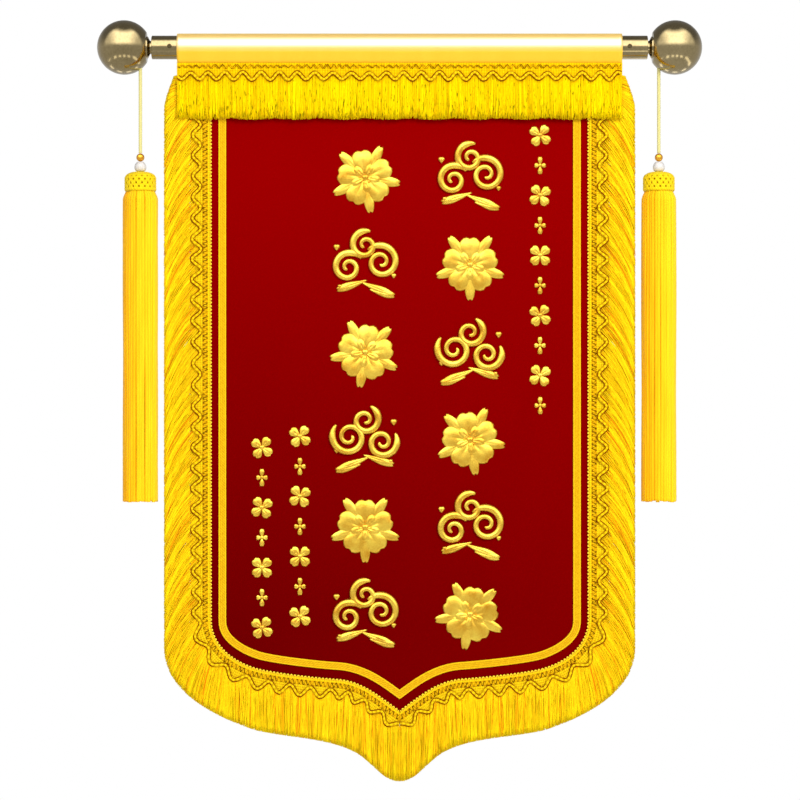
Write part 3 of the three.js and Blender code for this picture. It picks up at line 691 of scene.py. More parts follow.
@dataclass(frozen=True)
class Woven(Finish):
    """Woven or knitted trim: crossing threads read from the strip's own lengths in millimetres, with painted
    shade in the gaps between them.

    The selvedges are the part of the half width between the two selvedge shares and the rim. Field_share
    is how much of the weave's tone is kept in the middle and in the selvedges.
    """

    dark: tuple = linear(205, 130, 8)
    light: tuple = linear(248, 203, 26)
    along_pitch: float = 1.1
    across_pitch: float = 1.6
    lean: float = 0.0
    edge_light: float = 0.0
    half_width: float = 5.0
    selvedge: tuple = (0.62, 0.76)
    field_share: tuple = (0.78, 0.3)
    gap_depth: float = 0.6
    grain_tone: tuple = (0.2, 0.8, 0.6, 1.0)
    relief_strength: float = 0.7
    relief_depth: float = 0.35

    def make(self, effects: Effects) -> Material:
        """Builds the trim's material."""
        material, bench, shader = self.start()
        uv = bench.add("ShaderNodeUVMap", uv_map="cloth").outputs[0]
        along, across, _ = bench.add("ShaderNodeSeparateXYZ", {"Vector": uv}).outputs
        weave = bench.add("ShaderNodeGroup", {
            "Along": bench.math("ADD", along, bench.math("MULTIPLY", across, self.lean)), "Across": across,
            "Along pitch": self.along_pitch, "Across pitch": self.across_pitch}, node_tree=effects.weave)
        grain = bench.spread(bench.noise(self.place(bench), self.grain), *self.grain_tone)
        # Painted shade: the gaps between the threads are darkened.
        share = bench.math("SUBTRACT", grain, bench.math("MULTIPLY", weave.outputs["Gap"], self.gap_depth))
        if self.edge_light:
            low, high = (part * self.half_width for part in self.selvedge)
            rim = bench.spread(bench.math("ABSOLUTE", across), low, high)
            share = bench.math("MULTIPLY", share, bench.spread(rim, 0, 1, *self.field_share))
            share = bench.math("ADD", share, bench.math("MULTIPLY", rim, self.edge_light))
        bench.join(bench.mix(bench.spread(share, 0, 1), self.dark, self.light), shader, "Base Color")
        self.raise_by(bench, shader, weave.outputs["Height"])
        return material


@dataclass(frozen=True)
class Metal(Finish):
    """Polished antique metal: faint turning lines, darker patches and a warm tint.

    Scratch_tone spreads the scratches' noise over what is added to the roughness.
    """

    dark: tuple = linear(140, 122, 80)
    light: tuple = linear(172, 154, 110)
    brush: tuple = (1.0, 60.0, 60.0)
    patch: float = 18.0
    grain: float = 340.0
    scratches: float = 30.0
    scratch_tone: tuple = (0.3, 0.7, -0.05, 0.07)
    relief_strength: float = 0.02
    relief_depth: float = 0.1

    def make(self, effects: Effects) -> Material:
        """Builds the metal's material."""
        material, bench, shader = self.start()
        place = self.place(bench)
        bench.join(self.mottled(bench, effects, place), shader, "Base Color")
        scratch = bench.noise(self.drawn_out(bench, place, self.brush), self.scratches, 4)
        low, high, less, more = self.scratch_tone
        rough = bench.spread(scratch, low, high, self.roughness + less, self.roughness + more)
        bench.join(rough, shader, "Roughness")
        self.raise_by(bench, shader, scratch)
        return material


@dataclass(frozen=True)
class Foil(Finish):
    """Raised gold foil with a dark rim of painted shadow at its foot: the rim reads the piece's relief
    attribute.
    """

    dark: tuple = linear(206, 140, 14)
    light: tuple = linear(255, 224, 84)
    # The colour of the painted shadow round the foil's foot.
    rim: tuple = linear(52, 26, 2)
    rim_edge: tuple = (0.02, 0.3)
    patch: float = 60.0
    grain: float = 900.0
    relief: float = 1100.0

    def make(self, effects: Effects) -> Material:
        """Builds the foil's material."""
        material, bench, shader = self.start()
        place = self.place(bench)
        gold = self.mottled(bench, effects, place)
        height = bench.add("ShaderNodeAttribute", attribute_name="relief").outputs["Fac"]
        colour = bench.mix(bench.spread(height, *self.rim_edge), self.rim, gold)
        bench.join(colour, shader, "Base Color")
        self.raise_by(bench, shader, bench.noise(place, self.relief, 2))
        return material


@dataclass
class Finishes:
    """Every material of the banner, each made once."""

    effects: Effects = field(default_factory=Effects)

    def __post_init__(self) -> None:
        """Makes the materials."""
        made = self.effects
        silk = linear(255, 216, 40)
        self.velvet = Velvet("velvet_pile", roughness=0.9, specular=0.0, sheen=0.04,
                             sheen_tint=linear(200, 0, 0)).make(made)
        self.satin = Satin("yellow_satin", roughness=0.4, specular=1.0, refraction=2.8, sheen=0.5,
                           sheen_tint=linear(255, 244, 160)).make(made)
        self.fringe = Yarn("fringe_yarn", roughness=0.45, specular=0.4, gloss_tint=silk).make(made)
        self.top_fringe = Yarn("top_fringe_yarn", roughness=0.5, specular=0.3, gloss_tint=silk,
                               dark=linear(240, 172, 2), light=linear(255, 232, 4),
                               fleck_share=0.075).make(made)
        # Its dark end colours the gimp's dark edge cords, which are painted shade.
        self.gimp = Yarn("gimp_cord_yarn", roughness=0.6, specular=0.2, gloss_tint=silk,
                         dark=linear(120, 52, 2), light=linear(255, 214, 18)).make(made)
        self.zigzag = Yarn("zigzag_yarn", roughness=0.6, specular=0.2, gloss_tint=silk,
                           dark=linear(104, 58, 2), light=linear(244, 184, 10)).make(made)
        self.picot = Yarn("picot_yarn", roughness=0.5, specular=0.3, gloss_tint=silk,
                          dark=linear(214, 150, 10), light=linear(255, 228, 60)).make(made)
        self.rope = Yarn("tassel_rope", roughness=0.4, specular=0.5, gloss_tint=silk, drawn=(1.0, 1.0, 0.06),
                         dark=linear(248, 160, 8), light=linear(255, 212, 30)).make(made)
        # Its dark end is the painted shade in the head's holes, between its stitches and under its rim.
        self.knit = Yarn("tassel_knit", roughness=0.5, specular=0.4, gloss_tint=silk,
                         dark=linear(120, 70, 4), light=linear(252, 218, 26)).make(made)
        self.cord = Yarn("hanging_cord_yarn", roughness=0.7, specular=0.2, dark=linear(196, 184, 104),
                         light=linear(224, 216, 148)).make(made)
        self.braid = Woven("edge_braid_weave", roughness=0.6, specular=0.3, gloss_tint=silk,
                           along_pitch=2.2, across_pitch=3.0,
                           dark=linear(196, 128, 6), light=linear(255, 222, 22)).make(made)
        self.top_braid = Woven("top_braid_weave", roughness=0.6, specular=0.3, along_pitch=3.2,
                               across_pitch=2.0, gloss_tint=silk, dark=linear(204, 138, 2),
                               light=linear(252, 214, 8)).make(made)
        self.ribbon = Woven("ribbon_knit", roughness=0.55, specular=0.3, along_pitch=3.4, across_pitch=2.2,
                            lean=0.9, gloss_tint=silk, dark=linear(188, 120, 4), light=linear(253, 208, 28),
                            edge_light=0.7, gap_depth=0.55).make(made)
        self.bronze = Metal("antique_bronze", roughness=0.13, metallic=1.0, coat=0.5).make(made)
        # The screw's steel is darker than the rod: partly its own colour, partly painted shade standing in
        # for the dark of its cross slot.
        self.steel = Metal("screw_steel", roughness=0.4, metallic=1.0, dark=linear(58, 48, 30),
                           light=linear(112, 98, 68)).make(made)
        self.gold_bead = Metal("gold_bead", roughness=0.25, metallic=0.8, dark=linear(206, 130, 22),
                               light=linear(250, 196, 70)).make(made)
        self.pearl = Metal("pale_bead", roughness=0.3, metallic=0.0, dark=linear(204, 198, 194),
                           light=linear(224, 220, 216), coat=0.3).make(made)
        self.foil = Foil("gold_foil", roughness=0.24, metallic=0.72).make(made)


# How the cloth hangs


@dataclass(frozen=True)
class Fold:
    """A soft trough, or with a negative depth a ridge, along a line of points."""

    name: str
    line: tuple
    width: float
    depth: float


@dataclass(frozen=True)
class Edge:
    """The visible lower and side edge of the velvet, on the left, and places beside it."""

    half_width: float = 237.0
    top: float = -35.2
    side_end: float = -716.0
    spans: tuple = (
        ((-237, -716), (-237, -740), (-220, -765), (-181, -777)),
        ((-181, -777), (-162, -783), (-96, -790), (-77, -791)),
        ((-77, -791), (-46, -794), (-27, -812), (0, -831)),
    )
    steps: int = 48
    side_steps: int = 90
    beyond: tuple = (15.0, 30.0, 45.0)
    tail_points: int = 60

    def __post_init__(self) -> None:
        """Works out the edge's fine points, outward directions and lengths, with a straight run beyond."""
        heights = np.linspace(self.top, self.side_end, self.side_steps, endpoint=False)
        side = np.stack([np.full(self.side_steps, -self.half_width), heights], 1)
        points = np.concatenate([side, *(bezier(span, self.steps) for span in self.spans),
                                 [self.spans[-1][-1]]]).astype(float)
        along = np.gradient(points, axis=0)
        lead, tip = np.array(self.spans[-1][-2], float), np.array(self.spans[-1][-1], float)
        along[-1] = tip - lead
        along /= np.linalg.norm(along, axis=1, keepdims=True)
        past = len(self.beyond)
        points = np.concatenate([points, tip + along[-1] * np.array(self.beyond)[:, None]])
        along = np.concatenate([along, np.repeat(along[-1:], past, axis=0)])
        lengths = np.concatenate([[0], np.cumsum(np.linalg.norm(np.diff(points, axis=0), axis=1))])
        object.__setattr__(self, "points", points)
        object.__setattr__(self, "normals", np.stack([along[:, 1], -along[:, 0]], 1))
        object.__setattr__(self, "lengths", lengths)
        object.__setattr__(self, "length", lengths[-1 - past])

    def at(self, s: Array, offset: Array) -> Array:
        """Points beside the left edge.

        Args:
            s: lengths along the edge from its top.
            offset: how far outwards from the edge.

        Returns:
            Rows of x and z.
        """
        mixed = [np.interp(s, self.lengths, column) for column in (*self.points.T, *self.normals.T)]
        return np.stack([mixed[0] + mixed[2] * offset, mixed[1] + mixed[3] * offset], -1)

    def middle(self, offset: float, gap: float) -> float:
        """The length at which a line at this offset comes within a gap of the banner's middle."""
        tail = self.lengths[-self.tail_points:]
        return float(np.interp(-gap, self.at(tail, np.full(len(tail), offset))[:, 0], tail))

    def offset_line(self, offset: float) -> Array:
        """The left line at one offset, from the top to the banner's middle, as rows of x and z."""
        end = self.middle(offset, 0)
        s = np.append(self.lengths[self.lengths < end], end)
        return self.at(s, np.full(len(s), offset))


@dataclass(frozen=True)
class Hang:
    """Where the hanging cloth's middle lies in depth, with its main folds listed."""

    edge: Edge
    folds: tuple = (
        Fold("right shoulder", ((232, -228), (207, -334), (150, -441)), 30, 3.6),
        Fold("right ridge", ((200, -441), (125, -666)), 32, -3.8),
        Fold("right hollow", ((236, -453), (163, -647), (119, -765)), 27, 3.4),
        Fold("point hollow", ((63, -628), (50, -760)), 28, 1.8),
        Fold("middle belly", ((-20, -480), (20, -560)), 110, -3),
        Fold("left ripple", ((-188, -690), (-182, -750)), 24, 1.4),
        Fold("left ripple, inner", ((-118, -700), (-112, -765)), 24, 1.4),
    )
    fade_from: float = 16
    fade_to: float = 80
    fade_left: float = 0.1
    sway_depth: float = 2
    sway_length: float = 310
    sway_phase: float = 0.6
    sway_from: float = -120
    sway_to: float = -820
    every: int = 6

    def middle(self, x: Array, z: Array) -> Array:
        """The depth of the cloth's middle.

        Args:
            x: places along the rod.
            z: heights.

        Returns:
            The depths, positive away from the viewer.
        """
        x, z = np.asarray(x, float), np.asarray(z, float)
        line = self.edge.offset_line(0)[::self.every]
        beside = -np.abs(x)
        lower = line[line[:, 1] <= self.edge.side_end]
        outside = (beside <= -self.edge.half_width) | (
            (z < self.edge.side_end) & (z < np.interp(beside, lower[:, 0], lower[:, 1])))
        inset = np.where(outside, 0, distance_to_line(line, beside, z))
        share = self.fade_left + (1 - self.fade_left) * smooth(self.fade_from, self.fade_to, inset)
        depth = np.zeros(x.shape)
        for fold in self.folds:
            reach = distance_to_line(np.array(fold.line, float), x, z)
            depth += share * fold.depth * np.exp(-((reach / fold.width) ** 2))
        sway = self.sway_depth * smooth(self.sway_from, self.sway_to, z)
        return depth + sway * np.sin(FULL_TURN * x / self.sway_length + self.sway_phase)


# Rod, finials and screws


@dataclass
class HangingRod:
    """The metal rod with its ball finials and grub screws."""

    finishes: Finishes
    sides: int = 64
    rod_wall: float = 1.4
    rod_edge: float = 0.6
    edge_steps: int = 3
    edge_angle: float = 60
    end_on: float = 0.9
    bend_angle: float = 30
    # The plug, the neck and its flare, as rows of the place along the rod and the radius.
    neck: tuple = ((279.5, 11.5), (281.0, 13.0), (306.5, 13.0), (307.5, 8.2), (311.6, 8.2), (312.4, 9.4),
                   (314.0, 12.8), (314.6, 13.6), (315.8, 13.8))
    ball_from: float = 316.2
    ball_rows: int = 28
    pole: float = 0.03
    cord_x: float = 324.0
    cord_hole: float = 2.9
    hole_depth: float = 8.0
    drill_reach: float = 10.0
    drill_sides: int = 24
    screw_x: float = 286.5
    screw_sides: int = 32
    # The screw, as rows of the depth behind its face and the radius.
    screw_rows: tuple = ((1.0, 1.9), (0.9, 2.8), (0.4, 2.8), (0.1, 2.4), (0.0, 1.9))
    slot_length: float = 3.8
    slot_width: float = 1.3
    slot_depth: float = 1.1

    def build(self) -> list:
        """Builds the rod, both finials and both screws."""
        pieces = [self.rod()]
        for side in Side:
            pieces += [self.finial(side), self.screw(side)]
        return pieces

    def rod(self) -> Piece:
        """The tube: an open turned wall, given its thickness and rounded mouths."""
        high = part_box("rod")[1]
        half, radius = high[0] / MM, high[2] / MM
        piece = turned("rod_tube", [(-half, radius), (half, radius)], self.sides, Axis.X, (0, 0, 0))
        bpy.ops.object.mode_set(mode="EDIT")
        bpy.ops.mesh.select_mode(type="FACE")
        bpy.ops.mesh.select_all(action="DESELECT")
        bpy.ops.object.mode_set(mode="OBJECT")
        for polygon in piece.data.polygons:
            polygon.select = abs(polygon.normal[0]) > self.end_on
        bpy.ops.object.mode_set(mode="EDIT")
        bpy.ops.mesh.delete(type="ONLY_FACE")
        bpy.ops.mesh.select_mode(type="VERT")
        bpy.ops.object.mode_set(mode="OBJECT")
        wall = piece.modifiers.new("wall", "SOLIDIFY")
        wall.thickness = self.rod_wall * MM
        wall.offset = -1
        bpy.ops.object.modifier_apply(modifier=wall.name)
        rounded = piece.modifiers.new("mouth", "BEVEL")
        rounded.width = self.rod_edge * MM
        rounded.segments = self.edge_steps
        rounded.angle_limit = math.radians(self.edge_angle)
        bpy.ops.object.modifier_apply(modifier=rounded.name)
        return dress(piece, self.finishes.bronze, "brass", "rod")

    def finial(self, side: Side) -> Piece:
        """The ball with its neck and plug, drilled below for the tassel's cord.

        Args:
            side: which end of the rod.

        Returns:
            The finished piece.
        """
        low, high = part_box(f"finial_{side.word}")
        radius = (high[2] - low[2]) / 2 / MM
        centre = max(abs(low[0]), abs(high[0])) / MM - radius
        profile = list(self.neck)
        start = math.acos((self.ball_from - centre) / radius)
        for angle in np.linspace(start, self.pole, self.ball_rows):
            profile.append((centre + radius * math.cos(angle), radius * math.sin(angle)))
        rows = [(side.value * place, size) for place, size in profile]
        name = f"ball_finial_{side.word}"
        piece = turned(name, rows, self.sides, Axis.X, (0, 0, 0), self.bend_angle)
        surface = -math.sqrt(radius**2 - (centre - self.cord_x) ** 2)
        bore = [(surface - self.drill_reach, self.cord_hole), (surface + self.hole_depth, self.cord_hole)]
        drill = turned("drill", bore, self.drill_sides, Axis.Z, (side.value * self.cord_x, 0, 0))
        cut_away(piece, drill)
        return dress(piece, self.finishes.bronze, "brass", f"finial_{side.word}")

    def screw(self, side: Side) -> Piece:
        """A grub screw with a cross slot, in the front of the rod's end.

        Args:
            side: which end of the rod.

        Returns:
            The finished piece.
        """
        low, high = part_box(f"screw_{side.word}")
        front, back = low[1] / MM, high[1] / MM
        profile = [(back, self.screw_rows[0][1])]
        profile += [(front + depth, radius) for depth, radius in self.screw_rows]
        x = side.value * self.screw_x
        name = f"grub_screw_{side.word}"
        piece = turned(name, profile, self.screw_sides, Axis.Y, (x, 0, 0), self.bend_angle)
        for wide, tall in ((self.slot_length, self.slot_width), (self.slot_width, self.slot_length)):
            bpy.ops.mesh.primitive_cube_add(size=1, location=(x * MM, front * MM, 0))
            slot = bpy.context.object
            slot.dimensions = (wide * MM, self.slot_depth * MM, tall * MM)
            bpy.ops.object.transform_apply(location=True, rotation=True, scale=True)
            cut_away(piece, slot)
        return dress(piece, self.finishes.steel, "steel", f"screw_{side.word}")


# Tassels


@dataclass
class Tassel:
    """A tassel below a ball: cord, gold bead, pale bead, knitted head and rope skirt."""

    side: Side
    finishes: Finishes
    seed: int = 3
    x: float = 324.0
    cord_radius: float = 2.25
    cord_top: float = -22.0
    cord_bottom: float = -132.2
    cord_exit: float = -27.5
    cord_rows: int = 90
    cord_sides: int = 12
    cord_lay: float = 9.0
    cord_plies: int = 3
    ply_height: float = 0.14
    route_points: int = 16
    bead_pole: float = 0.2
    bead_rows: int = 16
    bead_sides: int = 32
    # The pale bead, as rows of the share of its height and the radius.
    barrel: tuple = ((0, 4.6), (0.02, 5.2), (0.08, 6.0), (0.18, 6.9), (0.3, 7.4), (0.45, 7.5), (0.6, 7.2),
                     (0.72, 6.7), (0.84, 5.8), (0.93, 4.9), (0.99, 4.2), (1, 3.6))
    barrel_sides: int = 40
    head_top: float = -155.3
    head_bottom: float = -181.0
    head_radius: float = 19.5
    head_mouth: float = 2.0
    head_rows: int = 84
    head_columns: int = 256
    shoulder: float = 9.0
    shoulder_share: float = 0.4
    dome: float = 0.75
    hem_tuck: float = 1.8
    hem: tuple = (0.86, 0.98)
    stitches: int = 16
    stitch_height: float = 0.3
    stitch_lean: float = 0.5
    course_height: float = 0.15
    course_pitch: float = 3.4
    # The rows of holes, each with its height, its shift round the head and its depth.
    hole_rows: tuple = ((-161.2, math.pi, 1.3), (-165.6, 0.0, 2.0), (-170.0, math.pi, 2.0),
                        (-174.4, 0.0, 1.9))
    hole_height: float = 1.15
    hole_edge: tuple = (0.4, 0.9)
    plain_top: tuple = (0.3, 1.2)
    # How far up from the head's foot the painted shade under the rim reaches.
    rim_height: float = 3.0
    ropes: int = 34
    rope_radius: float = 2.3
    rope_lay: float = 22.0
    rope_ply: float = 0.05
    ring_radius: float = 19.6
    inner_ropes: int = 18
    inner_ring: float = 14.6
    skirt_bottom: float = -568.0
    skirt_tuck: float = 4.0
    gather: float = 4.2
    gathered: float = 0.035
    ragged: float = 2.5

    @property
    def middle(self) -> float:
        """The x of the tassel's axis."""
        return self.side.value * self.x

    def build(self) -> list:
        """Builds the tassel's five pieces."""
        beads = [self.gold_bead(), self.pale_bead()]
        return [self.cord(beads), *beads, self.head(), self.skirt()]

    def cord(self, beads: list) -> Piece:
        """The twisted cord that hangs plumb from the hole in the ball.

        Args:
            beads: the pieces on the cord; not used.

        Returns:
            The finished piece.
        """
        heights = np.linspace(self.cord_top, self.cord_bottom, self.cord_rows)
        angle = FULL_TURN * np.arange(self.cord_sides) / self.cord_sides
        twist = FULL_TURN * (heights - self.cord_top) / self.cord_lay
        ply = np.abs(np.cos(self.cord_plies / 2 * (angle[None] - twist[:, None])))
        radius = self.cord_radius * (1 - self.ply_height + self.ply_height * ply)
        rings = np.stack([self.middle + radius * np.cos(angle), radius * np.sin(angle),
                          np.repeat(heights[:, None], self.cord_sides, 1)], -1)
        # Painted shade: darker in the grooves between the plies, lighter on their crowns.
        tone = 0.4 + 0.5 * ((radius - radius.min()) / (radius.max() - radius.min())).ravel()
        piece = new_piece(f"hanging_cord_{self.side.word}", *ringed(rings), tone=tone)
        dress(piece, self.finishes.cord, "cord", f"cord_{self.side.word}")
        route = [(self.middle * MM, 0.0, float(z) * MM)
                 for z in np.linspace(self.cord_top, self.cord_bottom, self.route_points)]
        self.middle * MM
        return piece

    def gold_bead(self) -> Piece:
        """The small gold ball bead."""
        low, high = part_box(f"bead_{self.side.word}")
        top, bottom = high[2] / MM, low[2] / MM
        half, centre = (top - bottom) / 2, (top + bottom) / 2
        angles = np.linspace(self.bead_pole, math.pi - self.bead_pole, self.bead_rows)
        rows = [(centre - half * math.cos(a), half * math.sin(a)) for a in angles]
        name = f"gold_ball_bead_{self.side.word}"
        piece = turned(name, rows, self.bead_sides, Axis.Z, (self.middle, 0, 0))
        return dress(piece, self.finishes.gold_bead, "gold_bead", f"bead_{self.side.word}")

    def pale_bead(self) -> Piece:
        """The pale barrel bead with softly rounded shoulders."""
        low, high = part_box(f"barrel_bead_{self.side.word}")
        top, bottom = high[2] / MM, low[2] / MM
        rows = [(bottom + (top - bottom) * share, radius) for share, radius in self.barrel]
        name = f"barrel_pearl_{self.side.word}"
        piece = turned(name, rows, self.barrel_sides, Axis.Z, (self.middle, 0, 0))
        return dress(piece, self.finishes.pearl, "pale_bead", f"barrel_bead_{self.side.word}")

    def head(self) -> Piece:
        """The knitted head: a cap of stitches with rows of holes, rolled in at its lower rim."""
        t = np.linspace(0, 1, self.head_rows)
        turn = np.clip(t / self.shoulder_share, 0, 1) * math.pi / 2
        down = np.clip((t - self.shoulder_share) / (1 - self.shoulder_share), 0, 1)
        radius = self.head_mouth + (self.head_radius - self.head_mouth) * np.sin(turn) ** self.dome
        radius = radius - self.hem_tuck * smooth(*self.hem, down)
        z = self.head_top - self.shoulder * (1 - np.cos(turn))
        z = z + (self.head_bottom - self.head_top + self.shoulder) * down
        angle = FULL_TURN * np.arange(self.head_columns) / self.head_columns
        grid_z, grid_a = np.meshgrid(z, angle, indexing="ij")
        stitch = self.stitch_height * np.abs(np.sin(grid_a * self.stitches + grid_z * self.stitch_lean))
        knit = stitch + self.course_height * np.cos(FULL_TURN * grid_z / self.course_pitch)
        holes = np.zeros_like(grid_z)
        for row, shift, depth in self.hole_rows:
            wave = np.cos(grid_a * self.stitches + shift)
            band = np.exp(-(((grid_z - row) / self.hole_height) ** 2))
            holes += depth * band * smooth(*self.hole_edge, wave)
        lumpy = radius[:, None] + smooth(*self.plain_top, turn)[:, None] * (knit - holes)
        rings = np.stack([self.middle + lumpy * np.cos(grid_a), lumpy * np.sin(grid_a), grid_z], -1)
        # Painted shade: the tone darkens in the holes, between the stitches and under the rolled-in rim.
        rim = smooth(self.head_bottom + self.rim_height, self.head_bottom, grid_z)
        tone = np.clip(0.9 - 0.42 * holes + 0.4 * (knit - 0.2) - 0.6 * rim, 0, 1).ravel()
        piece = new_piece(f"knitted_head_{self.side.word}", *ringed(rings), tone=tone)
        return dress(piece, self.finishes.knit, "fringe")

    def skirt(self) -> Piece:
        """The skirt: an outer ring of twisted ropes round a plainer inner one."""
        chance = np.random.default_rng(self.seed + self.side.value)
        shapes, tones = [], []
        start = self.head_bottom + self.skirt_tuck
        for count, ring, rings, sides, lobes in ((self.ropes, self.ring_radius, 150, 8, 2),
                                                 (self.inner_ropes, self.inner_ring, 24, 6, 0)):
            t = np.linspace(0, 1, rings)
            for n in range(count):
                angle = FULL_TURN * (n + 0.3 * (chance.random() - 0.5)) / count
                z = start + (self.skirt_bottom + self.ragged * chance.random() - start) * t
                out = ring - self.gather * (1 - smooth(0, self.gathered, t))
                out = out + 0.3 * np.sin(9 * t + 6 * chance.random())
                turn = angle + 0.012 * np.sin(7 * t + 6 * chance.random())
                axis = np.stack([self.middle + out * np.cos(turn), out * np.sin(turn), z], -1)
                shapes.append(self.rope(axis, z, sides, lobes))
                # Painted light: ropes towards the key light on the right are lighter and those on the left
                # darker, over a random tone and streaks.
                lit_side_and_streak = 0.62 + 0.34 * math.cos(angle) + 0.16 * chance.random()
                lit_side_and_streak = np.clip(lit_side_and_streak + 0.08 * np.sin(20 * t + 6 * chance.random()), 0, 1)
                tones.append(np.repeat(lit_side_and_streak, sides))
        return yarn_piece(f"rope_skirt_{self.side.word}", shapes, tones, self.finishes.rope, "fringe",
                          f"tassel_{self.side.word}")

    def rope(self, axis: Array, z: Array, sides: int, lobes: int) -> Shape:
        """One rope, its section turning down its length where it has lobes.

        Args:
            axis: the rope's middle line.
            z: the heights of that line.
            sides: how many sides the section has.
            lobes: how many plies show, or 0 for a plain round rope.

        Returns:
            The corners and the faces.
        """
        angle = FULL_TURN * np.arange(sides) / sides
        twist = FULL_TURN * z / self.rope_lay
        ply = np.abs(np.cos(lobes / 2 * (angle[None] - twist[:, None])))
        radius = self.rope_radius * (1 - self.rope_ply + self.rope_ply * ply)
        return ringed(axis[:, None] + np.stack([radius * np.cos(angle), radius * np.sin(angle),
                                                np.zeros_like(radius)], -1))


# Satin pocket


@dataclass
class SatinPocket:
    """The satin sleeve round the rod, closed by a seam under it."""

    finishes: Finishes
    half_width: float = 277.5
    inner: float = 15.2
    outer: float = 17.3
    seam_top: float = -27.0
    seam_bottom: float = -34.2
    seam_half: float = 2.2
    seam_rise: float = 3.0
    fold_half: float = 0.2
    stations: int = 140
    arc_steps: int = 56
    flank_steps: int = 6
    wrinkles: int = 6
    wrinkle_depth: float = 0.22
    wrinkle_length: tuple = (14, 60)
    seed: int = 11

    def outline(self, radius: float, half: float, tip: float) -> Array:
        """One loop of the pocket's section: down one flank, under the seam, up and over the rod.

        Args:
            radius: the loop's radius round the rod.
            half: half the loop's width at its lower end.
            tip: the z of its lower end.

        Returns:
            Rows of y and z.
        """
        turn = math.acos(radius / math.hypot(half, tip)) + math.atan2(half, -tip)
        angle = -turn - (FULL_TURN - 2 * turn) * np.linspace(0, 1, self.arc_steps)
        arc = np.stack([radius * np.sin(angle), -radius * np.cos(angle)], 1)
        share = np.linspace(0, 1, self.flank_steps, endpoint=False)[1:, None]
        start, end = np.array([[-half, tip]]), np.array([[half, tip]])
        up, down = start + (arc[:1] - start) * share, arc[-1:] + (end - arc[-1:]) * share
        return np.concatenate([start, up, arc, down, end])

    def build(self) -> list:
        """Sweeps the section along the rod with faint drawn wrinkles and dresses it."""
        outer = self.outline(self.outer, self.seam_half, self.seam_top - self.seam_rise)
        outer[0], outer[-1] = (-self.seam_half, self.seam_bottom), (self.seam_half, self.seam_bottom)
        inner = self.outline(self.inner, self.fold_half, self.seam_top)
        count = len(outer)
        chance = np.random.default_rng(self.seed)
        x = np.linspace(-self.half_width, self.half_width, self.stations)
        waves = sum(chance.uniform(0.3, 1) * np.sin(x / chance.uniform(*self.wrinkle_length)
                                                    + chance.uniform(0, 6))
                    for _ in range(self.wrinkles)) / self.wrinkles
        low = smooth(0, -20, outer[:, 1])
        out = outer / np.linalg.norm(outer, axis=1, keepdims=True)
        shell = outer[None] + self.wrinkle_depth * (waves[:, None] * low)[:, :, None] * out[None]
        corners = np.concatenate([
            np.concatenate([np.full((count, 1), place), ring], 1)
            for place, rings in zip(x, shell) for ring in (rings, inner)])
        at = np.arange(len(x) * 2 * count).reshape(len(x), 2, count)
        after = np.roll(at, -1, 2)
        outside = np.stack([at[:-1, 0], at[1:, 0], after[1:, 0], after[:-1, 0]], -1).reshape(-1, 4)
        inside = np.stack([at[:-1, 1], after[:-1, 1], after[1:, 1], at[1:, 1]], -1).reshape(-1, 4)
        left = np.stack([at[0, 0], after[0, 0], after[0, 1], at[0, 1]], -1)
        right = np.stack([at[-1, 0], at[-1, 1], after[-1, 1], after[-1, 0]], -1)
        faces = outwards(corners, np.concatenate([outside, inside, left, right]))
        piece = new_piece("satin_pocket", corners, faces)
        dress(piece, self.finishes.satin, "satin", "sleeve")
        return [piece]


# Velvet panel and ribbon


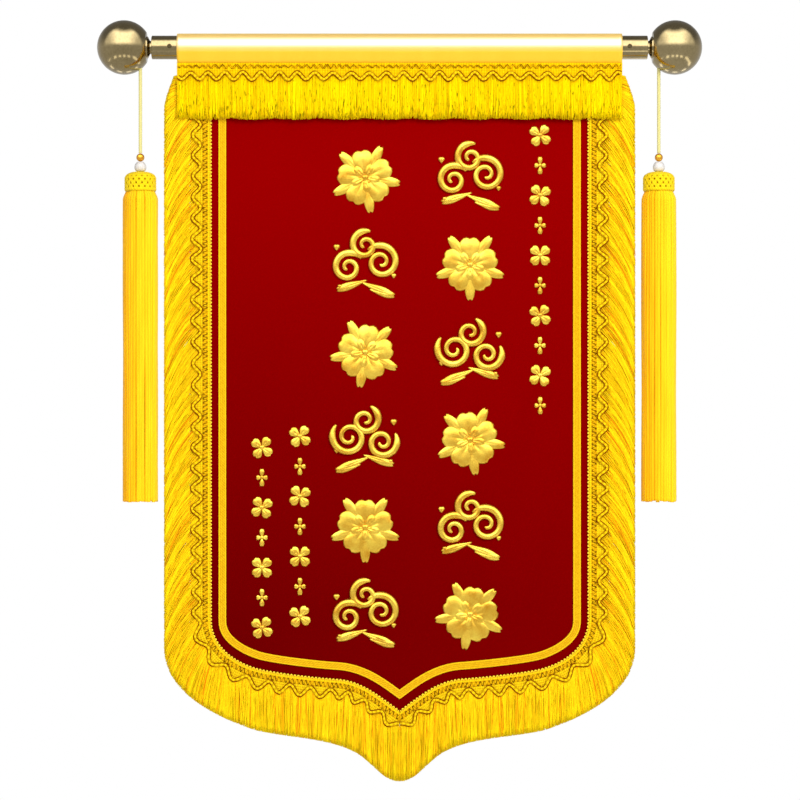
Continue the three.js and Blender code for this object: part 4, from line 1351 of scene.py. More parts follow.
@dataclass
class VelvetPanel:
    """The red panel, with the ribbon and the raised ornaments that are sewn on it."""

    finishes: Finishes
    edge: Edge
    hang: Hang
    top: float = -34.8
    hidden: float = 12.0
    thickness: float = 2.0
    column_step: float = 4.2
    rows: int = 165
    ribbon_half: float = 4.75
    ribbon_thickness: float = 1.0
    ribbon_side_inset: float = 15.5
    ribbon_bottom_inset: float = 18.2
    ribbon_turn: tuple = (-730, -775)
    ribbon_steps: int = 340
    ribbon_back: float = 0.2
    # The ribbon's section, as rows of the share of its half width and the height over its ground.
    ribbon_section: tuple = ((-1, 0.1), (-0.86, 0.45), (-0.7, 0.3), (-0.5, 0.12), (0, 0.16), (0.5, 0.12),
                             (0.7, 0.3), (0.86, 0.45), (1, 0.1))
    layer_gap: float = 0.8

    def build(self) -> list:
        sewn = [self.ribbon(), *Ornaments(self.finishes, self.hang).build()]
        return [self.panel(sewn), *sewn]

    def panel(self, sewn: list) -> Piece:
        """The velvet, from the pocket's seam down to the edge that the braid hides.

        Args:
            sewn: the pieces that lie on it; not used.

        Returns:
            The finished piece.
        """
        half = self.edge.half_width + self.hidden
        lower = self.edge.offset_line(self.hidden)
        lower = lower[lower[:, 1] <= self.edge.side_end]
        x = np.linspace(-half, half, int(2 * half / self.column_step) + 1)
        bottom = np.interp(-np.abs(x), lower[:, 0], lower[:, 1])
        share = np.linspace(0, 1, self.rows)[:, None]
        z = self.top + (bottom[None] - self.top) * share
        grid = np.broadcast_to(x, z.shape)
        y = self.hang.middle(grid, z)
        front = np.stack([grid, y - self.thickness / 2, z], -1)
        back = np.stack([grid, y + self.thickness / 2, z], -1)
        piece = new_piece("velvet_panel", *closed_sheet(front, back))
        dress(piece, self.finishes.velvet, "velvet", "panel")
        return piece

    def ribbon(self) -> Piece:
        """The narrow knitted ribbon, in one length round the point, with raised selvedges."""
        shares, relief = np.array(self.ribbon_section).T
        across = shares * self.ribbon_half
        left_x, left_z, left_s = [], [], []
        for offset in across:
            s = np.linspace(0, self.edge.middle(-self.ribbon_bottom_inset + offset, 0), self.ribbon_steps)
            z = self.edge.at(s, np.zeros_like(s))[:, 1]
            turned_in = smooth(*self.ribbon_turn, z)
            inset = self.ribbon_side_inset + (self.ribbon_bottom_inset - self.ribbon_side_inset) * turned_in
            places = self.edge.at(s, offset - inset)
            left_x.append(places[:, 0])
            left_z.append(places[:, 1])
            left_s.append(s)
        x, z, s = (np.array(part).T for part in (left_x, left_z, left_s))
        x[-1] = 0
        x = np.concatenate([x, -x[-2::-1]])
        z = np.concatenate([z, z[-2::-1]])
        s = np.concatenate([s, 2 * s[-1] - s[-2::-1]])
        base = self.hang.middle(x, z) - self.thickness / 2 - self.layer_gap
        front = np.stack([x, base - self.ribbon_thickness + self.ribbon_back - relief, z], -1)
        back = np.stack([x, base, z], -1)
        uv = np.stack([s, np.broadcast_to(across, s.shape)], -1).reshape(-1, 2)
        piece = new_piece("inset_ribbon", *closed_sheet(front, back), uv=np.concatenate([uv, uv]))
        return dress(piece, self.finishes.ribbon, "ribbon", "ribbon")


# Raised ornaments


class Motif(Enum):
    """The kinds of raised ornament."""

    BLOSSOM = "blossom"
    CLOUD = "cloud"
    FLORET = "floret"
    LOZENGE = "lozenge"


@dataclass
class Ornaments:
    """Generic gold ornaments in columns: blossoms and clouds, with small florets and lozenges."""

    finishes: Finishes
    hang: Hang
    top: float = -163.0
    pitch: float = 109.2
    rows: int = 6
    columns: tuple = (-43.0, 88.0)
    small_pitch: float = 37.5
    small_columns: tuple = ((175.5, -110.0, 10), (-124.5, -486.0, 7), (-172.0, -500.0, 7))
    blossom_size: float = 1.08
    cloud_size: float = 1.32
    small_size: float = 1.55
    velvet_half: float = 1.0
    lift: float = 0.35
    full_relief: float = 1.6
    turn_step: float = 9.0
    petal_sides: int = 22
    petal_wall: float = 0.22
    # The petal's crown, as rows of how far each ring is inset and raised.
    petal_crown: tuple = ((0.07, 0.34), (0.09, 0.22), (0.1, 0.13), (0.1, 0.06), (0.08, -0.02))
    # Each ring of a blossom's petals: its turn, and the petals' width, length and height.
    blossom_rings: tuple = ((36, 12, 43, 1.5), (0, 27, 34, 2.3), (36, 12, 19, 3.0))
    blossom_petals: int = 5
    heart: tuple = (4.6, 3.8)
    seeds: int = 8
    seed_ring: float = 7.0
    seed_size: tuple = (1.3, 3.6)
    # Each curl of a cloud: its centre, its size, its turns, which way it winds and where it starts.
    curls: tuple = ((-16, -2, 15, 1.6, 1, 0.6), (15, 3, 17, 1.7, -1, 2.4), (0, 19, 14, 1.5, 1, 1.2))
    # Each wisp below a cloud: its root, its angle and its length.
    wisps: tuple = ((-4, -16, 112, 34), (4, -23, 104, 26), (2, -14, -108, 32))
    drops: tuple = ((-27, 17, 3.2), (27, -10, 2.6), (-24, -20, 2.2))
    curl_steps: int = 60
    curl_radius: float = 3.6
    curl_sides: int = 10
    curl_flat: float = 0.75
    curl_depth: float = 1.2

    def build(self) -> list:
        """Lays out and builds every column, each as one piece."""
        petal = self.petal()
        layout = [("ornament_column", n, x, self.top, self.rows, self.pitch)
                  for n, x in enumerate(self.columns)]
        layout += [("small_ornament_column", n, x, top, count, self.small_pitch)
                   for n, (x, top, count) in enumerate(self.small_columns)]
        sizes = {Motif.BLOSSOM: self.blossom_size, Motif.CLOUD: self.cloud_size,
                 Motif.FLORET: self.small_size, Motif.LOZENGE: self.small_size}
        pieces = []
        for name, number, x, top, count, pitch in layout:
            large = name == "ornament_column"
            shapes = []
            for row in range(count):
                pair = (Motif.BLOSSOM, Motif.CLOUD) if large else (Motif.FLORET, Motif.LOZENGE)
                motif = pair[(row + number * large) % 2]
                corners, faces = self.shape(motif, petal, row)
                shapes.append((corners * sizes[motif] + np.array([x, 0, top - row * pitch]), faces))
            pieces.append(self.column(f"{name}_{number + 1}", shapes))
        return pieces

    def petal(self) -> Shape:
        """Models one unit petal as by hand: a disc, inset and raised in steps, then pinched at its root.

        Returns:
            Its corners and faces: root at the origin, tip at z = 1, standing 1 high towards -Y.
        """
        bpy.ops.object.select_all(action="DESELECT")
        bpy.ops.mesh.primitive_circle_add(vertices=self.petal_sides, radius=0.5, fill_type="NGON",
                                          location=(0, 0, 0.5), rotation=(math.pi / 2, 0, 0))
        piece = bpy.context.object
        bpy.ops.object.transform_apply(location=True, rotation=True, scale=True)
        bpy.ops.object.mode_set(mode="EDIT")
        bpy.ops.mesh.extrude_region_move(TRANSFORM_OT_translate={"value": (0, -self.petal_wall, 0)})
        for inset, rise in self.petal_crown:
            bpy.ops.mesh.inset(thickness=inset, depth=0)
            bpy.ops.transform.translate(value=(0, -rise, 0))
        bpy.ops.mesh.select_all(action="SELECT")
        bpy.ops.mesh.normals_make_consistent(inside=False)
        bpy.ops.object.mode_set(mode="OBJECT")
        corners = np.array([v.co for v in piece.data.vertices])
        faces = [list(polygon.vertices) for polygon in piece.data.polygons]
        bpy.data.objects.remove(piece)
        corners[:, 0] *= 0.45 + 0.62 * smooth(0.0, 0.75, corners[:, 2])
        corners[:, 2] -= 0.09 * np.exp(-((corners[:, 0] / 0.12) ** 2)) * smooth(0.8, 1, corners[:, 2])
        corners[:, 1] *= 1 - 0.28 * np.exp(-((corners[:, 0] / 0.05) ** 2)) * smooth(0.75, 0.2, corners[:, 2])
        return corners, faces

    def spun(self, shape: tuple, angle: float, width: float, length: float, height: float,
             shift: tuple = (0.0, 0.0)) -> Shape:
        """A copy of the petal with its own size, turned about its root.

        Args:
            shape: the petal's corners and faces.
            angle: clockwise from upright, in degrees.
            width: its width.
            length: its length.
            height: how far it stands up.
            shift: where its root is.

        Returns:
            The copy's corners and faces.
        """
        corners, faces = shape
        x, y, z = corners[:, 0] * width, corners[:, 1] * height, corners[:, 2] * length
        turn = math.radians(angle)
        return np.stack([x * math.cos(turn) + z * math.sin(turn) + shift[0], y,
                         z * math.cos(turn) - x * math.sin(turn) + shift[1]], 1), faces

    def button(self, petal: tuple, radius: float, height: float, shift: tuple = (0.0, 0.0)) -> tuple:
        """A small round dome made of the petal's disc."""
        corners, faces = self.spun(petal, 0, 2 * radius, 2 * radius, height)
        return corners + np.array([shift[0], 0, shift[1] - radius]), faces

    def shape(self, motif: Motif, petal: tuple, number: int) -> Shape:
        """Builds one ornament round the origin.

        Args:
            motif: which kind.
            petal: the unit petal.
            number: its place in the column, which turns it a little.

        Returns:
            Its corners and faces.
        """
        turn = self.turn_step * (number % 3 - 1)
        if motif is Motif.BLOSSOM:
            return self.blossom(petal, turn)
        if motif is Motif.CLOUD:
            return self.cloud(petal, 1 if number % 4 < 2 else -1)
        if motif is Motif.FLORET:
            parts = [self.spun(petal, turn + 90 * k + 45, 8, 10, 1.3) for k in range(4)]
            return merged([*parts, self.button(petal, 2.4, 2.0)])
        parts = [self.spun(petal, 90 * k, 4.2, 7.5 if k % 2 == 0 else 5, 1.3) for k in range(4)]
        return merged([*parts, self.button(petal, 1.8, 1.9)])

    def blossom(self, petal: tuple, turn: float) -> Shape:
        """A five-petal blossom with inner petals, a beaded heart and leaves behind it."""
        parts = []
        for start, width, length, height in self.blossom_rings:
            for k in range(self.blossom_petals):
                angle = turn + 360 / self.blossom_petals * k + start
                parts.append(self.spun(petal, angle, width, length, height))
        parts.append(self.button(petal, *self.heart))
        for k in range(self.seeds):
            angle = FULL_TURN * k / self.seeds
            place = (self.seed_ring * math.sin(angle), self.seed_ring * math.cos(angle))
            parts.append(self.button(petal, *self.seed_size, place))
        return merged(parts)

    def cloud(self, petal: tuple, hand: int) -> Shape:
        """A cloud of three curls over two trailing wisps."""
        parts = [self.curl(hand * x, z, size, turns, way * hand, start)
                 for x, z, size, turns, way, start in self.curls]
        parts += [self.spun(petal, hand * angle, 8, long, 2.0, (hand * x, z))
                  for x, z, angle, long in self.wisps]
        parts += [self.button(petal, radius, 2.2, (hand * x, z)) for x, z, radius in self.drops]
        return merged(parts)

    def curl(self, x: float, z: float, size: float, turns: float, way: int, start: float) -> tuple:
        """A flattened spiral band that tapers to its heart."""
        t = np.linspace(0, 1, self.curl_steps)
        angle = start + way * FULL_TURN * turns * t
        reach = size * (1 - 0.86 * t)
        path = np.stack([x + reach * np.cos(angle), np.full(len(t), -self.curl_depth),
                         z + reach * np.sin(angle)], -1)
        taper = (1 - 0.55 * t) * smooth(-0.05, 0.08, t) * (1 - 0.5 * smooth(0.94, 1, t))
        corners, faces = tubes(path[None], self.curl_radius * taper[None], self.curl_sides, self.curl_flat)
        corners[:, 1] = np.minimum(corners[:, 1], 0)
        return corners, faces

    def column(self, name: str, shapes: list) -> Piece:
        """Lays one column's ornaments on the hanging velvet as one piece.

        Args:
            name: the piece's name.
            shapes: the ornaments' corners and faces, flat on y = 0.

        Returns:
            The finished piece.
        """
        corners, faces = merged(shapes)
        relief = np.clip(-corners[:, 1] / self.full_relief, 0, 1)
        corners[:, 1] += self.hang.middle(corners[:, 0], corners[:, 2]) - self.velvet_half - self.lift
        piece = new_piece(name, corners, faces, relief=relief)
        return dress(piece, self.finishes.foil, "ribbon")


# Edge trim


@dataclass(frozen=True)
class FringeOutline:
    """How far the edge fringe reaches, on the left, from under the top trim to the point."""

    spans: tuple = (
        ((-279, -28), (-284, -44), (-294, -62), (-294, -80)),
        ((-294, -80), (-294, -300), (-294, -520), (-294, -750)),
        ((-294, -750), (-294, -790), (-262, -826), (-180, -853)),
        ((-180, -853), (-140, -862), (-92, -862), (-58, -879)),
        ((-58, -879), (-34, -891), (-22, -917), (0, -917)),
    )
    steps: int = 24

    def line(self) -> Array:
        """The outline's points, rows of x and z."""
        return np.concatenate([*(bezier(span, self.steps) for span in self.spans), [self.spans[-1][-1]]])

    def reach(self, roots: Array, ways: Array) -> Array:
        """How far it is from each root to the outline.

        Args:
            roots: rows of x and z.
            ways: unit directions, rows of x and z.

        Returns:
            The distances.
        """
        line = self.line()
        start, along = line[:-1], np.diff(line, axis=0)
        gap = start[None] - roots[:, None]
        across = ways[:, None, 0] * along[None, :, 1] - ways[:, None, 1] * along[None, :, 0]
        across = np.where(np.abs(across) < TINY, TINY, across)
        far = (gap[..., 0] * along[None, :, 1] - gap[..., 1] * along[None, :, 0]) / across
        share = (gap[..., 0] * ways[:, None, 1] - gap[..., 1] * ways[:, None, 0]) / across
        hit = np.where((far > 1) & (share >= -0.001) & (share <= 1.001), far, np.inf)
        return hit.min(axis=1)


@dataclass
class EdgeTrim:
    """One side's edge trim: woven braid, picots, inner zigzag, wavy gimp cord and fringe."""

    side: Side
    finishes: Finishes
    edge: Edge
    hang: Hang
    outline: FringeOutline = field(default_factory=FringeOutline)
    inner: float = -0.5
    outer: float = 24.7
    thickness: float = 1.6
    layer_gap: float = 0.8
    velvet_half: float = 1.0
    mitre_gap: float = 0.12
    wave_middle: float = 16.5
    wave_amplitude: float = 5.2
    wave_pitch: float = 26.0
    layers: int = 5
    strand_pitch: float = 0.76
    strand_radius: float = 0.6
    strand_steps: int = 8
    side_lean: float = 0.56
    fan_lean: float = 1.62
    fan_length: float = 42.0
    fan_reach: float = 34.0
    split: float = -716.5
    ragged: float = 3.0
    front_layers: int = 3
    # How far each layer stands before the velvet, at its roots and at its tips.
    roots: tuple = (1.7, 2.4, 3.2, 3.5, 3.8)
    tips: tuple = (1.4, 2.0, 2.6, 3.2, 3.8)
    picot_pitch: float = 4.4
    gimp_proud: float = 1.9
    first_seed: int = 40

    def on_side(self, x: Array) -> Array:
        """The x of a point of the left side, on this side."""
        return x if self.side is Side.LEFT else -x

    def front(self, x: Array, z: Array) -> Array:
        """The depth of the velvet's face at points of this side."""
        return self.hang.middle(x, z) - self.velvet_half

    def build(self) -> list:
        """Builds the braid, what is sewn on it, and the fringe."""
        sewn = [self.picots(), self.zigzag(), self.gimp()]
        fringes = self.fringe()
        return [self.braid(sewn), *sewn, *fringes]

    def wave(self, s: Array) -> Array:
        """The gimp cord's offset at lengths along the edge, with a crest at the banner's middle."""
        middle = self.edge.middle(self.wave_middle - self.wave_amplitude, 0)
        uneven = 1.1 * np.sin(s / 57.0) + 0.8 * np.sin(s / 31.0 + 1)
        turn = FULL_TURN * (middle - s + uneven * smooth(0, 60, middle - s)) / self.wave_pitch
        lively = 1 + 0.12 * np.sin(s / 43.0 + 2)
        return self.wave_middle - self.wave_amplitude * lively * np.cos(turn)

    def braid(self, sewn: list) -> Piece:
        """The woven braid with a soft roll along its inner band, mitred at the point.

        Args:
            sewn: the cords that lie on it; not used.

        Returns:
            The finished piece.
        """
        across = np.linspace(self.inner, self.outer, 19)
        columns, lengths = [], []
        for offset in across:
            s = np.linspace(0, self.edge.middle(offset, self.mitre_gap), 520)
            columns.append(self.edge.at(s, np.full_like(s, offset)))
            lengths.append(s)
        places = np.array(columns).transpose(1, 0, 2)
        s = np.array(lengths).T
        x, z = self.on_side(places[..., 0]), places[..., 1]
        rise = 0.35 * np.exp(-(((across - 5.5) / 3.2) ** 2)) + 0.12 * np.sin(FULL_TURN * s / 5.2) * np.exp(
            -(((across - 5.5) / 3.5) ** 2))
        base = self.front(x, z) - self.layer_gap
        front = np.stack([x, base - self.thickness - rise, z], -1)
        back = np.stack([x, base, z], -1)
        uv = np.stack([s, np.broadcast_to(across, s.shape)], -1).reshape(-1, 2)
        piece = new_piece(f"edge_braid_{self.side.word}", *closed_sheet(front, back),
                          uv=np.concatenate([uv, uv]))
        dress(piece, self.finishes.braid, "braid", f"braid_{self.side.word}")
        return piece

    def line_on_braid(self, s: Array, offset: Array, proud: float) -> Array:
        """A path on the braid's face.

        Args:
            s: lengths along the edge.
            offset: how far outwards.
            proud: how far in front of the braid.

        Returns:
            Rows of x, y and z on this side.
        """
        places = self.edge.at(s, offset)
        keep = places[:, 0] < -self.mitre_gap
        x, z = self.on_side(places[keep, 0]), places[keep, 1]
        proud = np.broadcast_to(proud, keep.shape)[keep]
        return np.stack([x, self.front(x, z) - self.layer_gap - self.thickness - proud, z], -1)

    def picots(self) -> Piece:
        """The row of small loops along the braid's inner edge."""
        s = np.arange(0, self.edge.length + 20, self.picot_pitch / 10)
        offset = 0.8 - 2.6 * np.abs(np.sin(math.pi * s / self.picot_pitch)) ** 1.5
        path = self.line_on_braid(s, offset, -0.6)
        corners, faces = round_tube(path, 0.8, 6)
        # Painted shade: the loops darken where they meet the braid, between one loop and the next.
        tone = np.repeat(1.0 - 0.9 * np.abs(np.cos(math.pi * s[:len(path)] / self.picot_pitch)) ** 3, 6)
        piece = new_piece(f"picot_loops_{self.side.word}", corners, faces, tone=tone)
        return dress(piece, self.finishes.picot, "braid")

    def zigzag(self) -> Piece:
        """Two fine yarns that cross each other along the braid's inner band."""
        chance = np.random.default_rng(5)
        s = np.arange(0, self.edge.length + 20, 0.6)
        shapes, tones = [], []
        for way, radius, tone in ((1, 0.6, 0.06), (-1, 0.55, 1.0)):
            offset = 5.8 + way * 2.9 * np.sin(FULL_TURN * s / 5.5 + 0.5 * np.sin(s / 23))
            path = self.line_on_braid(s, offset, 0.5 + 0.25 * way * np.cos(FULL_TURN * s / 5.5))
            shapes.append(round_tube(path, radius, 5))
            patchy = tone + 0.3 * np.sin(s[:len(path)] / 3.1) + 0.2 * chance.standard_normal(len(path))
            tones.append(np.repeat(np.clip(patchy, 0, 1), 5))
        return yarn_piece(f"zigzag_yarn_{self.side.word}", shapes, tones, self.finishes.zigzag, "braid")

    def gimp(self) -> Piece:
        """The wavy gimp: a flat gold cord between two thin dark ones, which are painted shade."""
        s = np.arange(8, self.edge.length + 20, 0.9)
        middle = self.line_on_braid(s, self.wave(s), self.gimp_proud)
        return gimp_cord(f"wavy_gimp_{self.side.word}", middle, self.finishes.gimp, f"gimp_{self.side.word}")

    def fringe(self) -> list:
        """The cut fringe in two pieces, down the side and along the bottom."""
        layers = [self.layer(number, self.first_seed + number) for number in range(self.layers)]
        pieces = []
        for above, word in ((True, "side"), (False, "bottom")):
            shapes, tones = [], []
            for paths, radii, tone in layers:
                keep = (paths[:, 0, 2] > self.split) == above
                shapes.append(tubes(paths[keep], radii[keep], 3, 0.8))
                tones.append(np.repeat(tone[keep].reshape(-1), 3))
            pieces.append(yarn_piece(f"{word}_cut_fringe_{self.side.word}", shapes, tones,
                                     self.finishes.fringe, "fringe", f"{word}_fringe_{self.side.word}"))
        return pieces

    def lean(self, s: Array, x: Array) -> Array:
        """How far strands lean outwards: fanned at the top, even down the side, plumb at the bottom."""
        fan = (self.fan_lean - self.side_lean) * (1 - smooth(0, self.fan_length, s))
        return (self.side_lean + fan) * smooth(-205, -262, x)

    def layer(self, number: int, seed: int) -> tuple[Array, Array, Array]:
        """One layer of strands, evenly spaced across their own direction.

        Args:
            number: 0 at the back, and the last in front.
            seed: what its chance starts from.

        Returns:
            The strands' paths, radii and tones.
        """
        chance = np.random.default_rng(seed)
        s = np.linspace(0, self.edge.middle(self.outer, 0), 4000)
        is_front = number >= self.layers - self.front_layers
        offset = self.wave(s) + 2.2 if is_front else np.full_like(s, self.outer + 0.3)
        line = self.edge.at(s, offset)
        inside = line[:, 0] < -0.3
        s, line = s[inside], line[inside]
        smooth_line = self.edge.at(s, np.full_like(s, self.wave_middle))
        lean = self.lean(s, smooth_line[:, 0])
        way = np.stack([-np.sin(lean), -np.cos(lean)], 1)
        step = np.diff(smooth_line, axis=0, prepend=smooth_line[:1])
        spread = self.fan_reach * np.abs(np.diff(lean, prepend=lean[:1]))
        across = np.cumsum(np.abs(step[:, 0] * way[:, 1] - step[:, 1] * way[:, 0]) + spread)
        count = int(across[-1] / self.strand_pitch)
        at = (np.arange(count) + chance.uniform(0.1, 0.9, count)) * across[-1] / count
        at[-1] = across[-1]
        roots = np.stack([np.interp(at, across, line[:, k]) for k in range(2)], 1)
        lean = np.interp(at, across, lean)
        lock = np.cumsum(chance.random(count) < 0.14)
        lock_lean = chance.normal(0, 0.02 if is_front else 0.004, lock[-1] + 1)[lock]
        lock_tone = chance.uniform(0.6, 0.95, lock[-1] + 1)[lock]
        lock_y = chance.normal(0, 0.3, lock[-1] + 1)[lock]
        own_lean = lean + lock_lean + chance.normal(0, 0.02 if is_front else 0.006, count)
        own_lean = np.where(lean < 0.02, own_lean, np.maximum(own_lean, 0.03))
        own_lean[-1] = 0
        ways = np.stack([-np.sin(own_lean), -np.cos(own_lean)], 1)
        long = self.outline.reach(roots, ways)
        long = np.where(np.isfinite(long), long, 30) - self.ragged * chance.random(count) ** 3
        bend = 0.24 * np.clip(lean / self.side_lean, 0, 1) * smooth(0.1, 0.5, lean)
        bend = bend + chance.normal(0, 0.02, count)
        t = np.linspace(0, 1, self.strand_steps)[None]
        bulge = (bend[:, None] * long[:, None]) * t * (1 - t)
        outward = np.stack([-np.cos(own_lean), np.sin(own_lean)], 1)
        flat = roots[:, None] + ways[:, None] * (long[:, None] * t)[..., None]
        flat = flat + outward[:, None] * bulge[..., None]
        wander = 0.3 * np.sin(5 * t + chance.uniform(0, 6, (count, 1))) * t
        x = np.minimum(flat[..., 0] + wander, -0.15)
        z = flat[..., 1]
        x = self.on_side(x)
        root, tip = self.roots[number], self.tips[number]
        y = self.front(x, z) - root + (root - tip) * smooth(0, 0.5, t)
        y = y + lock_y[:, None] * t + chance.normal(0, 0.12, (count, 1))
        radii = self.strand_radius * (1 - 0.3 * smooth(0.85, 1, t)) * chance.uniform(0.85, 1.15, (count, 1))
        radii = radii * (1.0 if is_front else 1.45)
        tone = lock_tone + chance.uniform(-0.15, 0.15, count) - 0.75 * (chance.random(count) < 0.07)
        # Painted shade at each strand's root, under the braid, and painted light towards its tip.
        tone = tone[:, None] + 0.15 * smooth(0.6, 1, t) - 0.15 * (1 - smooth(0, 0.1, t))
        return np.stack([x, y, z], -1), radii, np.clip(tone, 0, 1)


def gimp_cord(name: str, middle: Array, finish: Material, node: str) -> Piece:
    """A wavy gimp: a flat gold cord and a thin dark cord along each of its edges; the dark cords are painted
    shade, put where the gimp's edges throw shade.

    Args:
        name: the piece's name.
        middle: the gimp's middle line.
        finish: its yarn.
        node: the CAD node that it replaces.

    Returns:
        The finished piece.
    """
    along = np.gradient(middle, axis=0)
    along /= np.linalg.norm(along, axis=1, keepdims=True)
    across = np.cross(along, np.array([0.0, 1.0, 0.0]))
    step = np.arange(len(middle))
    shapes, tones = [], []
    # The dark edge cords, at a low tone, stand in for the shade along the gimp's edges: painted shade.
    for shift, radius, sides, tone in ((0, 1.6, 8, 0.8), (-2.0, 0.66, 6, 0.02), (2.0, 0.66, 6, 0.02)):
        shapes.append(round_tube(middle + across * shift, radius, sides, 0.4 if shift == 0 else 1.0))
        edge_shade = np.clip(tone + 0.25 * np.sin(step / 2.3 + shift) + 0.25 * np.sin(step / 7.1 + 2 * shift), 0, 1)
        beaded = np.clip(0.74 + 0.26 * np.sin(1.5 * step), 0, 1)
        tones.append(np.repeat(beaded if shift == 0 else edge_shade, sides))
    return yarn_piece(name, shapes, tones, finish, "braid", node)


# Top trim


@dataclass
class TopTrim:
    """The braid across the top with its zigzag, its wavy gimp cord and its fringe."""

    finishes: Finishes
    half_width: float = 277.5
    top: float = -20.4
    bottom: float = -44.2
    thickness: float = 1.6
    back_top: float = -9.6
    back_bottom: float = -8.4
    ripple: float = 0.4
    ripple_length: float = 92.0
    wave_pitch: float = 22.2
    wave_amplitude: float = 4.2
    wave_middle: float = -36.9
    zigzag_middle: float = -25.0
    zigzag_amplitude: float = 2.4
    zigzag_pitch: float = 8.6
    fringe_bottom: float = -90.9
    fringe_lean: float = 1.6
    strand_pitch: float = 0.84
    strand_radius: float = 0.62
    strand_steps: int = 7
    # How far each layer stands before the trim's back, at its roots and at its tips.
    roots: tuple = (1.0, 1.7, 2.3, 2.8)
    tips: tuple = (0.9, 1.6, 2.3, 3.0)
    gimp_proud: float = 1.9
    first_seed: int = 70

    def back(self, x: Array, z: Array) -> Array:
        """The depth of the trim's back.

        Args:
            x: places along the rod.
            z: heights.

        Returns:
            The depths.
        """
        t = np.clip((self.top - z) / (self.top - self.bottom), 0, 1)
        ripple = self.ripple * smooth(0, 1, t) * np.sin(FULL_TURN * x / self.ripple_length)
        return self.back_top + (self.back_bottom - self.back_top) * t + ripple

    def wave(self, x: Array) -> Array:
        """The gimp cord's height along the trim."""
        uneven = 0.7 * np.sin(x / 41.0) + 0.5 * np.sin(x / 17.0 + 1)
        lively = 1 + 0.14 * np.sin(x / 37.0)
        turn = FULL_TURN * (x + uneven) / self.wave_pitch
        return self.wave_middle + self.wave_amplitude * lively * np.sin(turn)

    def build(self) -> list:
        """Builds the braid, what is sewn on it, and the fringe."""
        sewn = [self.zigzag(), self.gimp()]
        return [self.braid(sewn), *sewn, self.fringe()]

    def braid(self, sewn: list) -> Piece:
        """The woven braid across the top.

        Args:
            sewn: the cords that lie on it; not used.

        Returns:
            The finished piece.
        """
        x = np.linspace(-self.half_width, self.half_width, 420)
        z = np.linspace(self.top, self.bottom, 16)
        grid_x, grid_z = np.meshgrid(x, z)
        rise = 0.2 * np.sin(FULL_TURN * (grid_z - self.top) / 3.4)
        rise = rise * smooth(self.bottom + 4, self.bottom + 9, grid_z)
        behind = self.back(grid_x, grid_z)
        front = np.stack([grid_x, behind - self.thickness - rise, grid_z], -1)
        back = np.stack([grid_x, behind, grid_z], -1)
        uv = np.stack([grid_x, grid_z], -1).reshape(-1, 2)
        piece = new_piece("top_braid_cloth", *closed_sheet(front, back), uv=np.concatenate([uv, uv]))
        dress(piece, self.finishes.top_braid, "braid", "top_braid")
        return piece

    def on_face(self, x: Array, z: Array, proud: float) -> Array:
        """A path a little in front of the braid's face."""
        return np.stack([x, self.back(x, z) - self.thickness - proud, z], -1)

    def zigzag(self) -> Piece:
        """The fine uneven zigzag yarn near the braid's top."""
        chance = np.random.default_rng(8)
        x = np.arange(-self.half_width + 1, self.half_width - 1, 0.55)
        shapes, tones = [], []
        for shift, radius, tone in ((0.0, 0.52, 0.3), (2.3, 0.42, 0.45)):
            turn = (x + 1.2 * np.sin(x / 13.0) + shift) / self.zigzag_pitch
            saw = 2 * np.abs(2 * (turn - np.floor(turn + 0.5))) - 1
            z = self.zigzag_middle + self.zigzag_amplitude * saw * (1 + 0.2 * np.sin(x / 19))
            path = self.on_face(x, z, 0.4 + 0.15 * np.sin(x / 3))
            shapes.append(round_tube(path, radius, 5))
            patchy = tone + 0.35 * np.sin(x / 4.3 + shift) + 0.2 * chance.standard_normal(len(x))
            tones.append(np.repeat(np.clip(patchy, 0, 1), 5))
        return yarn_piece("top_zigzag_yarn", shapes, tones, self.finishes.zigzag, "braid")

    def gimp(self) -> Piece:
        """The wavy gimp cord of the top trim."""
        x = np.arange(-self.half_width + 1.5, self.half_width - 1.5, 0.8)
        middle = self.on_face(x, self.wave(x), self.gimp_proud)
        return gimp_cord("top_wavy_gimp", middle, self.finishes.gimp, "top_gimp")

    def fringe(self) -> Piece:
        """The short cut fringe in layers, rooted at the wave and ragged below."""
        shapes, tones = [], []
        for number, (root, tip) in enumerate(zip(self.roots, self.tips)):
            chance = np.random.default_rng(self.first_seed + number)
            count = int(2 * self.half_width / self.strand_pitch)
            x0 = -self.half_width + 0.6 + (np.arange(count) + chance.uniform(0.2, 0.8, count)) * (
                2 * self.half_width - 1.2) / count
            top = self.wave(x0) - 2.0 if number >= 2 else np.full(count, self.bottom - 0.5)
            lock = np.cumsum(chance.random(count) < 1 / 6)
            drift = chance.normal(0, 1.5, lock[-1] + 1)[lock] + chance.normal(0, 0.5, count)
            tone = chance.uniform(0.55, 0.95, lock[-1] + 1)[lock]
            short = chance.random(count) ** 3 * 6
            bottom = self.fringe_bottom + 1.6 * chance.random(count) + short + 0.8 * np.sin(x0 / 9)
            t = np.linspace(0, 1, self.strand_steps)[None]
            x = np.clip(x0[:, None] + drift[:, None] * t**2, -self.half_width, self.half_width)
            z = top[:, None] + (bottom - top)[:, None] * t
            y = self.back(x, np.full_like(z, self.bottom)) + self.fringe_lean * smooth(-47, -91, z)
            y = y - root + (root - tip) * smooth(0, 1, t) + chance.normal(0, 0.25, (count, 1)) * t
            radii = self.strand_radius * (1 - 0.4 * smooth(0.85, 1, t))
            radii = radii * chance.uniform(0.8, 1.15, (count, 1))
            shapes.append(tubes(np.stack([x, y, z], -1), radii, 3, 0.8))
            # Painted shade at each strand's root, under the braid, over a random tone.
            shade = tone[:, None] + chance.uniform(-0.2, 0.2, (count, 1)) - 0.3 * (1 - smooth(0, 0.1, t))
            tones.append(np.repeat(np.clip(shade, 0, 1).reshape(-1), 3))
        return yarn_piece("top_cut_fringe", shapes, tones, self.finishes.top_fringe, "fringe", "top_fringe")


# Studio


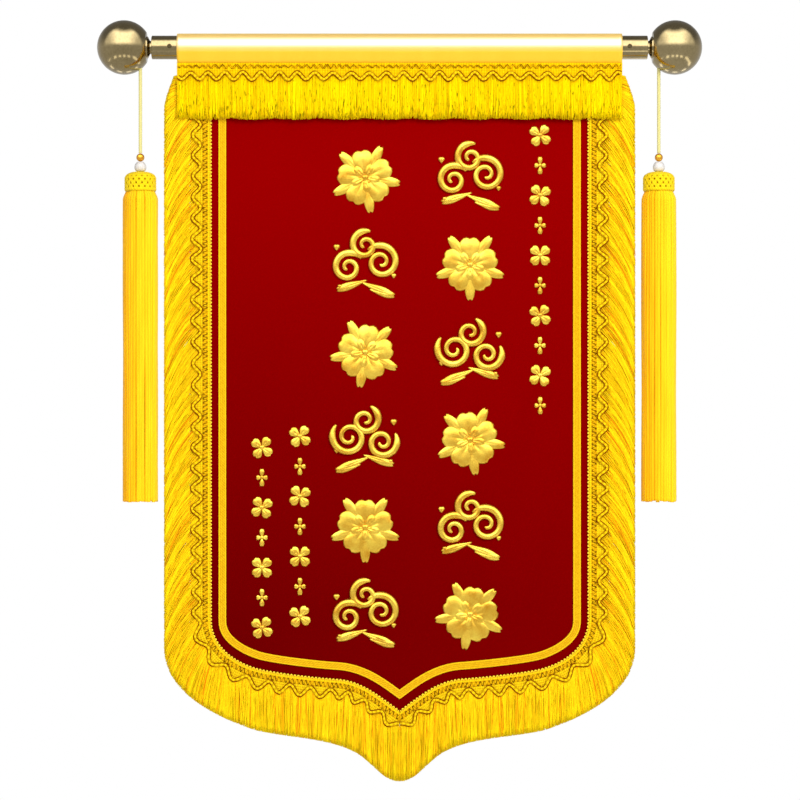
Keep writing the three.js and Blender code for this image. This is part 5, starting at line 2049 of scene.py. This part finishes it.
@dataclass(frozen=True)
class SoftLight:
    """One soft square or oblong light: where it hangs, its size and its power."""

    name: str
    place: tuple
    size: tuple
    power: float
    colour: tuple = (1.0, 1.0, 1.0)


@dataclass
class Studio:
    """The camera at the photograph's place, a pale floor, a white surround and soft lights."""

    field_width: float = 1000.0
    centre_x: float = 0.5
    centre_z: float = -440.6
    lens: float = 120.0
    sensor: float = 36.0
    floor_z: float = -1300.0
    floor_radius: float = 2000.0
    aim: tuple = (0.0, 0.0, -400.0)
    lights: tuple = (
        SoftLight("key", (1700, -3200, 1500), (1500, 1500), 118),
        SoftLight("fill", (-1300, -2800, -1500), (1800, 1800), 40),
    )
    even_light: float = 0.58
    gloss_band: float = 3.5
    gloss_above: float = 0.22
    gloss_below: float = 0.62
    lamp_row: float = 1.8

    def build(self) -> list:
        """Sets up the camera, the floor, the lights and the world."""
        self.camera()
        for light in self.lights:
            self.light(light)
        self.world()
        return [self.floor()]

    def camera(self) -> None:
        """Places the camera straight in front of the banner, level with the picture's middle."""
        data = bpy.data.cameras.new("camera")
        data.lens, data.sensor_width = self.lens, self.sensor
        camera = bpy.data.objects.new("camera", data)
        bpy.context.scene.collection.objects.link(camera)
        distance = self.field_width * self.lens / self.sensor
        camera.location = (self.centre_x * MM, -distance * MM, self.centre_z * MM)
        camera.rotation_euler = (math.pi / 2, 0, 0)
        data.clip_end = 50
        bpy.context.scene.camera = camera
        bpy.context.scene.view_settings.view_transform = "Standard"

    def light(self, light: SoftLight) -> None:
        """Hangs one soft light and turns it to the banner."""
        data = bpy.data.lights.new(light.name, "AREA")
        data.shape = "RECTANGLE"
        data.size, data.size_y = light.size[0] * MM, light.size[1] * MM
        data.energy, data.color = light.power, light.colour
        lamp = bpy.data.objects.new(light.name, data)
        bpy.context.scene.collection.objects.link(lamp)
        lamp.visible_glossy = False
        lamp.location = Vector(light.place) * MM
        lamp.rotation_euler = (Vector(self.aim) * MM - lamp.location).to_track_quat("-Z", "Y").to_euler()

    def world(self) -> None:
        """A white surround for the camera and a softer one, darker above, for light and gloss."""
        world = bpy.data.worlds.new("surround")
        bpy.context.scene.world = world
        world.use_nodes = True
        bench = NodeBench(world.node_tree)
        way = bench.add("ShaderNodeTexCoord").outputs["Generated"]
        across, depth, height = bench.add("ShaderNodeSeparateXYZ", {"Vector": way}).outputs
        base = bench.spread(height, 0.1, 0.5, self.gloss_below, self.gloss_above)
        band = bench.math("MULTIPLY", bench.spread(height, 0.06, 0.28), bench.spread(height, 0.975, 0.83))
        band = bench.math("MULTIPLY", band, bench.spread(depth, 0.05, -0.2))
        beside = bench.math("ABSOLUTE", across)
        band = bench.math("MULTIPLY", band, bench.spread(beside, 0.85, 0.4, 0.3, 1.0))
        gloss = bench.math("ADD", base, bench.math("MULTIPLY", band, self.gloss_band))
        lamps = bench.math("MULTIPLY", bench.spread(height, -0.6, -0.65), bench.spread(height, -0.76, -0.71))
        dashes = bench.spread(bench.math("SINE", bench.math("MULTIPLY", across, 21.0)), -0.3, 0.2)
        gloss = bench.math("ADD", gloss, bench.math("MULTIPLY", bench.math("MULTIPLY", lamps, dashes),
                                                    self.lamp_row))
        path = bench.add("ShaderNodeLightPath").outputs
        even = bench.math("MULTIPLY", bench.math("SUBTRACT", 1.0, path["Is Glossy Ray"]), self.even_light)
        level = bench.math("ADD", bench.math("MULTIPLY", path["Is Glossy Ray"], gloss), even)
        room = bench.add("ShaderNodeBackground", {"Color": (1, 1, 1, 1), "Strength": level})
        white = bench.add("ShaderNodeBackground", {"Color": (1, 1, 1, 1), "Strength": 1.0})
        mix = bench.add("ShaderNodeMixShader", {0: path["Is Camera Ray"], 1: room.outputs[0],
                                                2: white.outputs[0]})
        bench.add("ShaderNodeOutputWorld", {"Surface": mix.outputs[0]})

    def floor(self) -> Piece:
        """The plain pale floor, well below the hanging banner."""
        bpy.ops.object.select_all(action="DESELECT")
        bpy.ops.mesh.primitive_circle_add(vertices=96, radius=self.floor_radius * MM, fill_type="NGON",
                                          location=(0, 0, self.floor_z * MM))
        piece = bpy.context.object
        piece.name = "pale_floor"
        bpy.ops.object.transform_apply(location=True, rotation=True, scale=True)
        material = bpy.data.materials.new("pale_floor")
        material.use_nodes = True
        shader = material.node_tree.nodes["Principled BSDF"]
        shader.inputs["Base Color"].default_value = linear(236, 236, 234)
        shader.inputs["Roughness"].default_value = 0.8
        piece.data.materials.append(material)
        piece.visible_glossy = False
        return piece


def main() -> None:
    """Builds every part of the scene in order and reports its pieces."""
    logging.basicConfig(level=logging.INFO, format="%(message)s")
    Studio().build()
    finishes = Finishes()
    edge = Edge()
    hang = Hang(edge)
    parts = [Tassel(side, finishes) for side in Side]
    parts += [HangingRod(finishes), SatinPocket(finishes), VelvetPanel(finishes, edge, hang)]
    parts += [EdgeTrim(side, finishes, edge, hang) for side in Side]
    parts.append(TopTrim(finishes))
    for part in parts:
        for piece in part.build():
            LOG.info("%s: %s, %d faces", type(part).__name__, piece.name, len(piece.data.polygons))


if __name__ == "__main__":
    main()
